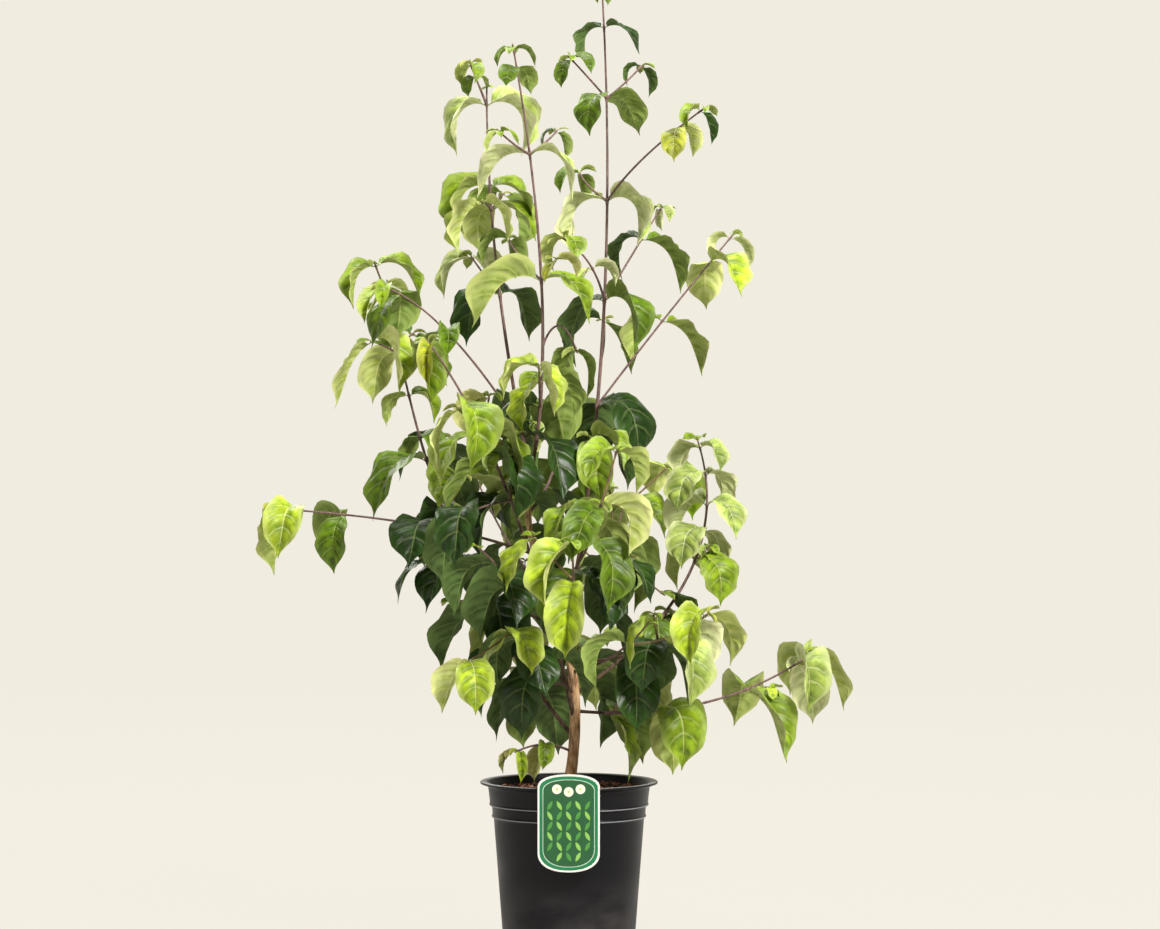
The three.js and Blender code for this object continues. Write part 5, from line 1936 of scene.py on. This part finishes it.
@dataclass(frozen=True)
class Plant:
    """The plant: wood, leaves, stalks and buds, each kind and colour joined in its own pieces."""

    bark: Bark = Bark()
    shape: LeafShape = LeafShape()

    def build_wood(self, crown: Crown) -> None:
        """Makes the trunk, the boughs, the stems, the twigs and the buds."""
        old = BarkFinish("bark_trunk", "dcb48a", "a67a54", "54402f", 420.0, 0.0006, 0.66)
        make_piece("trunk_bark", self.bark.trunk(), [old.material()], ["trunk"], 80.0)
        finishes = {
            Wood.BOUGH: BarkFinish("bark_bough", "68503e", "45352c", "28211e", 520.0, 0.0004, 0.7),
            Wood.STEM: BarkFinish("bark_stem", "846862", "634a47", "43363a", 650.0, 0.0002, 0.6),
            Wood.TWIG: BarkFinish("bark_twig", "8a7050", "6a5a3a", "5a3f3a", 700.0, 0.0001, 0.6),
        }
        for wood, finish in finishes.items():
            rods = [self.bark.limb(limb) for limb in crown.limbs if limb.wood is wood]
            nodes = BOUGHS if wood is Wood.BOUGH else FOLIAGE
            make_piece(f"{wood.value}_bark", Surface.joined(rods), [finish.material()], nodes,
                       80.0)
        tips = [limb for limb in crown.limbs if limb.wood is not Wood.BOUGH]
        bud = PlainFinish("bud_brown", "6f5a34", 0.6, 0.2, 200.0, 900.0, 0.0001, 0.3)
        make_piece("tip_buds", self.bark.buds(tips), [bud.material()], FOLIAGE, 80.0)

    def build_leaves(self, crown: Crown) -> None:
        """Makes the leaves of each tone, and the stalks of all."""
        leaves = Leaves.gathered(crown.leaves + crown.young)
        tones = np.array(leaves.tone)
        sizes = (("", leaves.length >= SMALL_LEAF, self.shape),
                 ("small_", leaves.length < SMALL_LEAF, SMALL_SHAPE))
        for tone in Tone:
            finish = LEAF_FINISHES[tone]
            materials = [finish.above(), finish.below()]
            for prefix, of_size, shape in sizes:
                which = np.flatnonzero((tones == tone.value) & of_size)
                if len(which):
                    make_piece(f"{prefix}leaves_{finish.name}", shape.build(leaves.chosen(which)),
                               materials, FOLIAGE, 88.0)
        stalk = PlainFinish("stalk_green", "7f8f48", 0.5, 0.2, 90.0, 900.0, 0.0001, 0.4)
        make_piece("leaf_stalks", self.shape.stalks(leaves), [stalk.material()], FOLIAGE, 80.0)
        log.info("%d leaves and %d young ones", len(crown.leaves), len(crown.young))

    def build(self) -> None:
        """Grows the crown and makes its pieces."""
        crown = Crown()
        crown.grow()
        self.build_wood(crown)
        self.build_leaves(crown)


# Studio

@dataclass(frozen=True)
class Lamp:
    """A square soft lamp: its place, what it points at, its size and its power."""

    name: str
    place: Triple
    size: float
    power: float
    colour: Triple = (1.0, 1.0, 1.0)
    aim: Triple = (0.0, 0.0, 0.65)

    def hang(self) -> None:
        """Adds the lamp, its -Z axis turned to what it points at."""
        data = bpy.data.lights.new(self.name, "AREA")
        data.shape = "SQUARE"
        data.size = self.size
        data.energy = self.power
        data.color = self.colour
        lamp = bpy.data.objects.new(self.name, data)
        lamp.location = self.place
        direction = Vector(self.aim) - Vector(self.place)
        lamp.rotation_euler = direction.to_track_quat("-Z", "Y").to_euler()
        bpy.context.scene.collection.objects.link(lamp)


@dataclass(frozen=True)
class Studio:
    """The photograph's level camera, soft lamps, a pale round room, and a cove that gives back light."""

    focal_pixels: float = 3400.0
    frame_width: float = 1160.0
    sensor: float = 36.0
    eye: Triple = (0.0149, -4.597, 0.662)
    far: float = 60.0
    floor_front: float = -7.0
    floor_back: float = 3.2
    cove: float = 2.0
    wall_top: float = 7.0
    half_width: float = 9.0
    room_radius: float = 12.0
    room_height: float = 10.0
    room_sides: int = 96
    bend_steps: int = 24
    paper: str = "f2ede1"
    glow: float = 0.98
    reflectance: float = 0.02
    world_strength: float = 0.2
    lamps: tuple[Lamp, ...] = (
        Lamp("key", (2.2, -3.0, 3.4), 0.85, 282.0, (1.0, 0.99, 0.93)),
        Lamp("fill", (-3.4, -3.0, 1.6), 2.6, 28.0, (1.0, 0.99, 0.97)),
        Lamp("top", (-0.3, 0.3, 3.6), 1.6, 90.0, (1.0, 0.99, 0.95)),
        Lamp("back", (-1.6, 2.2, 2.6), 1.6, 50.0, (1.0, 0.98, 0.94)),
    )

    def build(self) -> None:
        """Sets the camera, the world's light, the lamps and the backdrop."""
        scene = bpy.context.scene
        camera_data = bpy.data.cameras.new("camera")
        camera_data.sensor_width = self.sensor
        camera_data.lens = self.sensor * self.focal_pixels / self.frame_width
        camera_data.clip_end = self.far
        camera = bpy.data.objects.new("camera", camera_data)
        camera.location = self.eye
        camera.rotation_euler = (QUARTER, 0.0, 0.0)
        scene.collection.objects.link(camera)
        scene.camera = camera
        scene.view_settings.view_transform = "Standard"
        world = bpy.data.worlds.new("studio")
        world.use_nodes = True
        background = world.node_tree.nodes["Background"]
        background.inputs["Color"].default_value = linear(self.paper)
        background.inputs["Strength"].default_value = self.world_strength
        scene.world = world
        for lamp in self.lamps:
            lamp.hang()
        self.lay_backdrop()

    def lay_backdrop(self) -> None:
        """Lays the room, which the camera sees, and the cove, which gives the plant its light instead.

        The room is a floor that curves up into a round wall under a ceiling. The cove is a flat
        stretch, a quarter circle upwards and a wall.
        """
        paper = linear(self.paper)
        glow = Shader("backdrop_paper", Specular_IOR_Level=0.0, Emission_Color=paper,
                      Emission_Strength=self.glow)
        dull = tuple(self.reflectance * part for part in paper[:3]) + (1.0,)
        material = glow.finish(dull, 1.0)
        bend = np.linspace(0, QUARTER, self.bend_steps + 1)
        level = self.cove * (1 - np.cos(bend))
        radius = self.room_radius - self.cove * (1 - np.sin(bend))
        ceiling = [(self.room_radius, self.room_height), (0, self.room_height)]
        shell = turned([(0, 0), *zip(radius, level), *ceiling], self.room_sides)
        faces = np.split(shell.corners, np.cumsum(shell.sizes)[:-1])
        room = self.sheet("studio_room", shell.points, faces, material)
        room.visible_diffuse = False
        room.visible_glossy = False
        room.visible_shadow = False
        y = np.concatenate([[self.floor_front], self.floor_back + self.cove * np.sin(bend),
                            [self.floor_back + self.cove]])
        z = np.concatenate([[0.0], level, [self.wall_top]])
        rows = len(y)
        points = [(x, y[i], z[i]) for x in (-self.half_width, self.half_width) for i in range(rows)]
        faces = [(i, rows + i, rows + i + 1, i + 1) for i in range(rows - 1)]
        cove = self.sheet("studio_cove", points, faces, material)
        cove.visible_camera = False
        cove.visible_shadow = False

    @staticmethod
    def sheet(name: str, points: Iterable, faces: Iterable,
              material: bpy.types.Material) -> bpy.types.Object:
        """Makes a sheet of paper from points in metres."""
        mesh = bpy.data.meshes.new(name)
        mesh.from_pydata([tuple(map(float, point)) for point in points], [],
                         [tuple(map(int, face)) for face in faces])
        mesh.shade_smooth()
        mesh.materials.append(material)
        sheet = bpy.data.objects.new(name, mesh)
        bpy.context.scene.collection.objects.link(sheet)
        return sheet


def main() -> None:
    """Builds the studio, then the pot, the soil, the label and the plant."""
    logging.basicConfig(level=logging.INFO, format="%(message)s")
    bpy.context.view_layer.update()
    Studio().build()
    Pot().build()
    Soil().build()
    PlantLabel().build()
    Plant().build()
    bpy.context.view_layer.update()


if __name__ == "__main__":
    main()
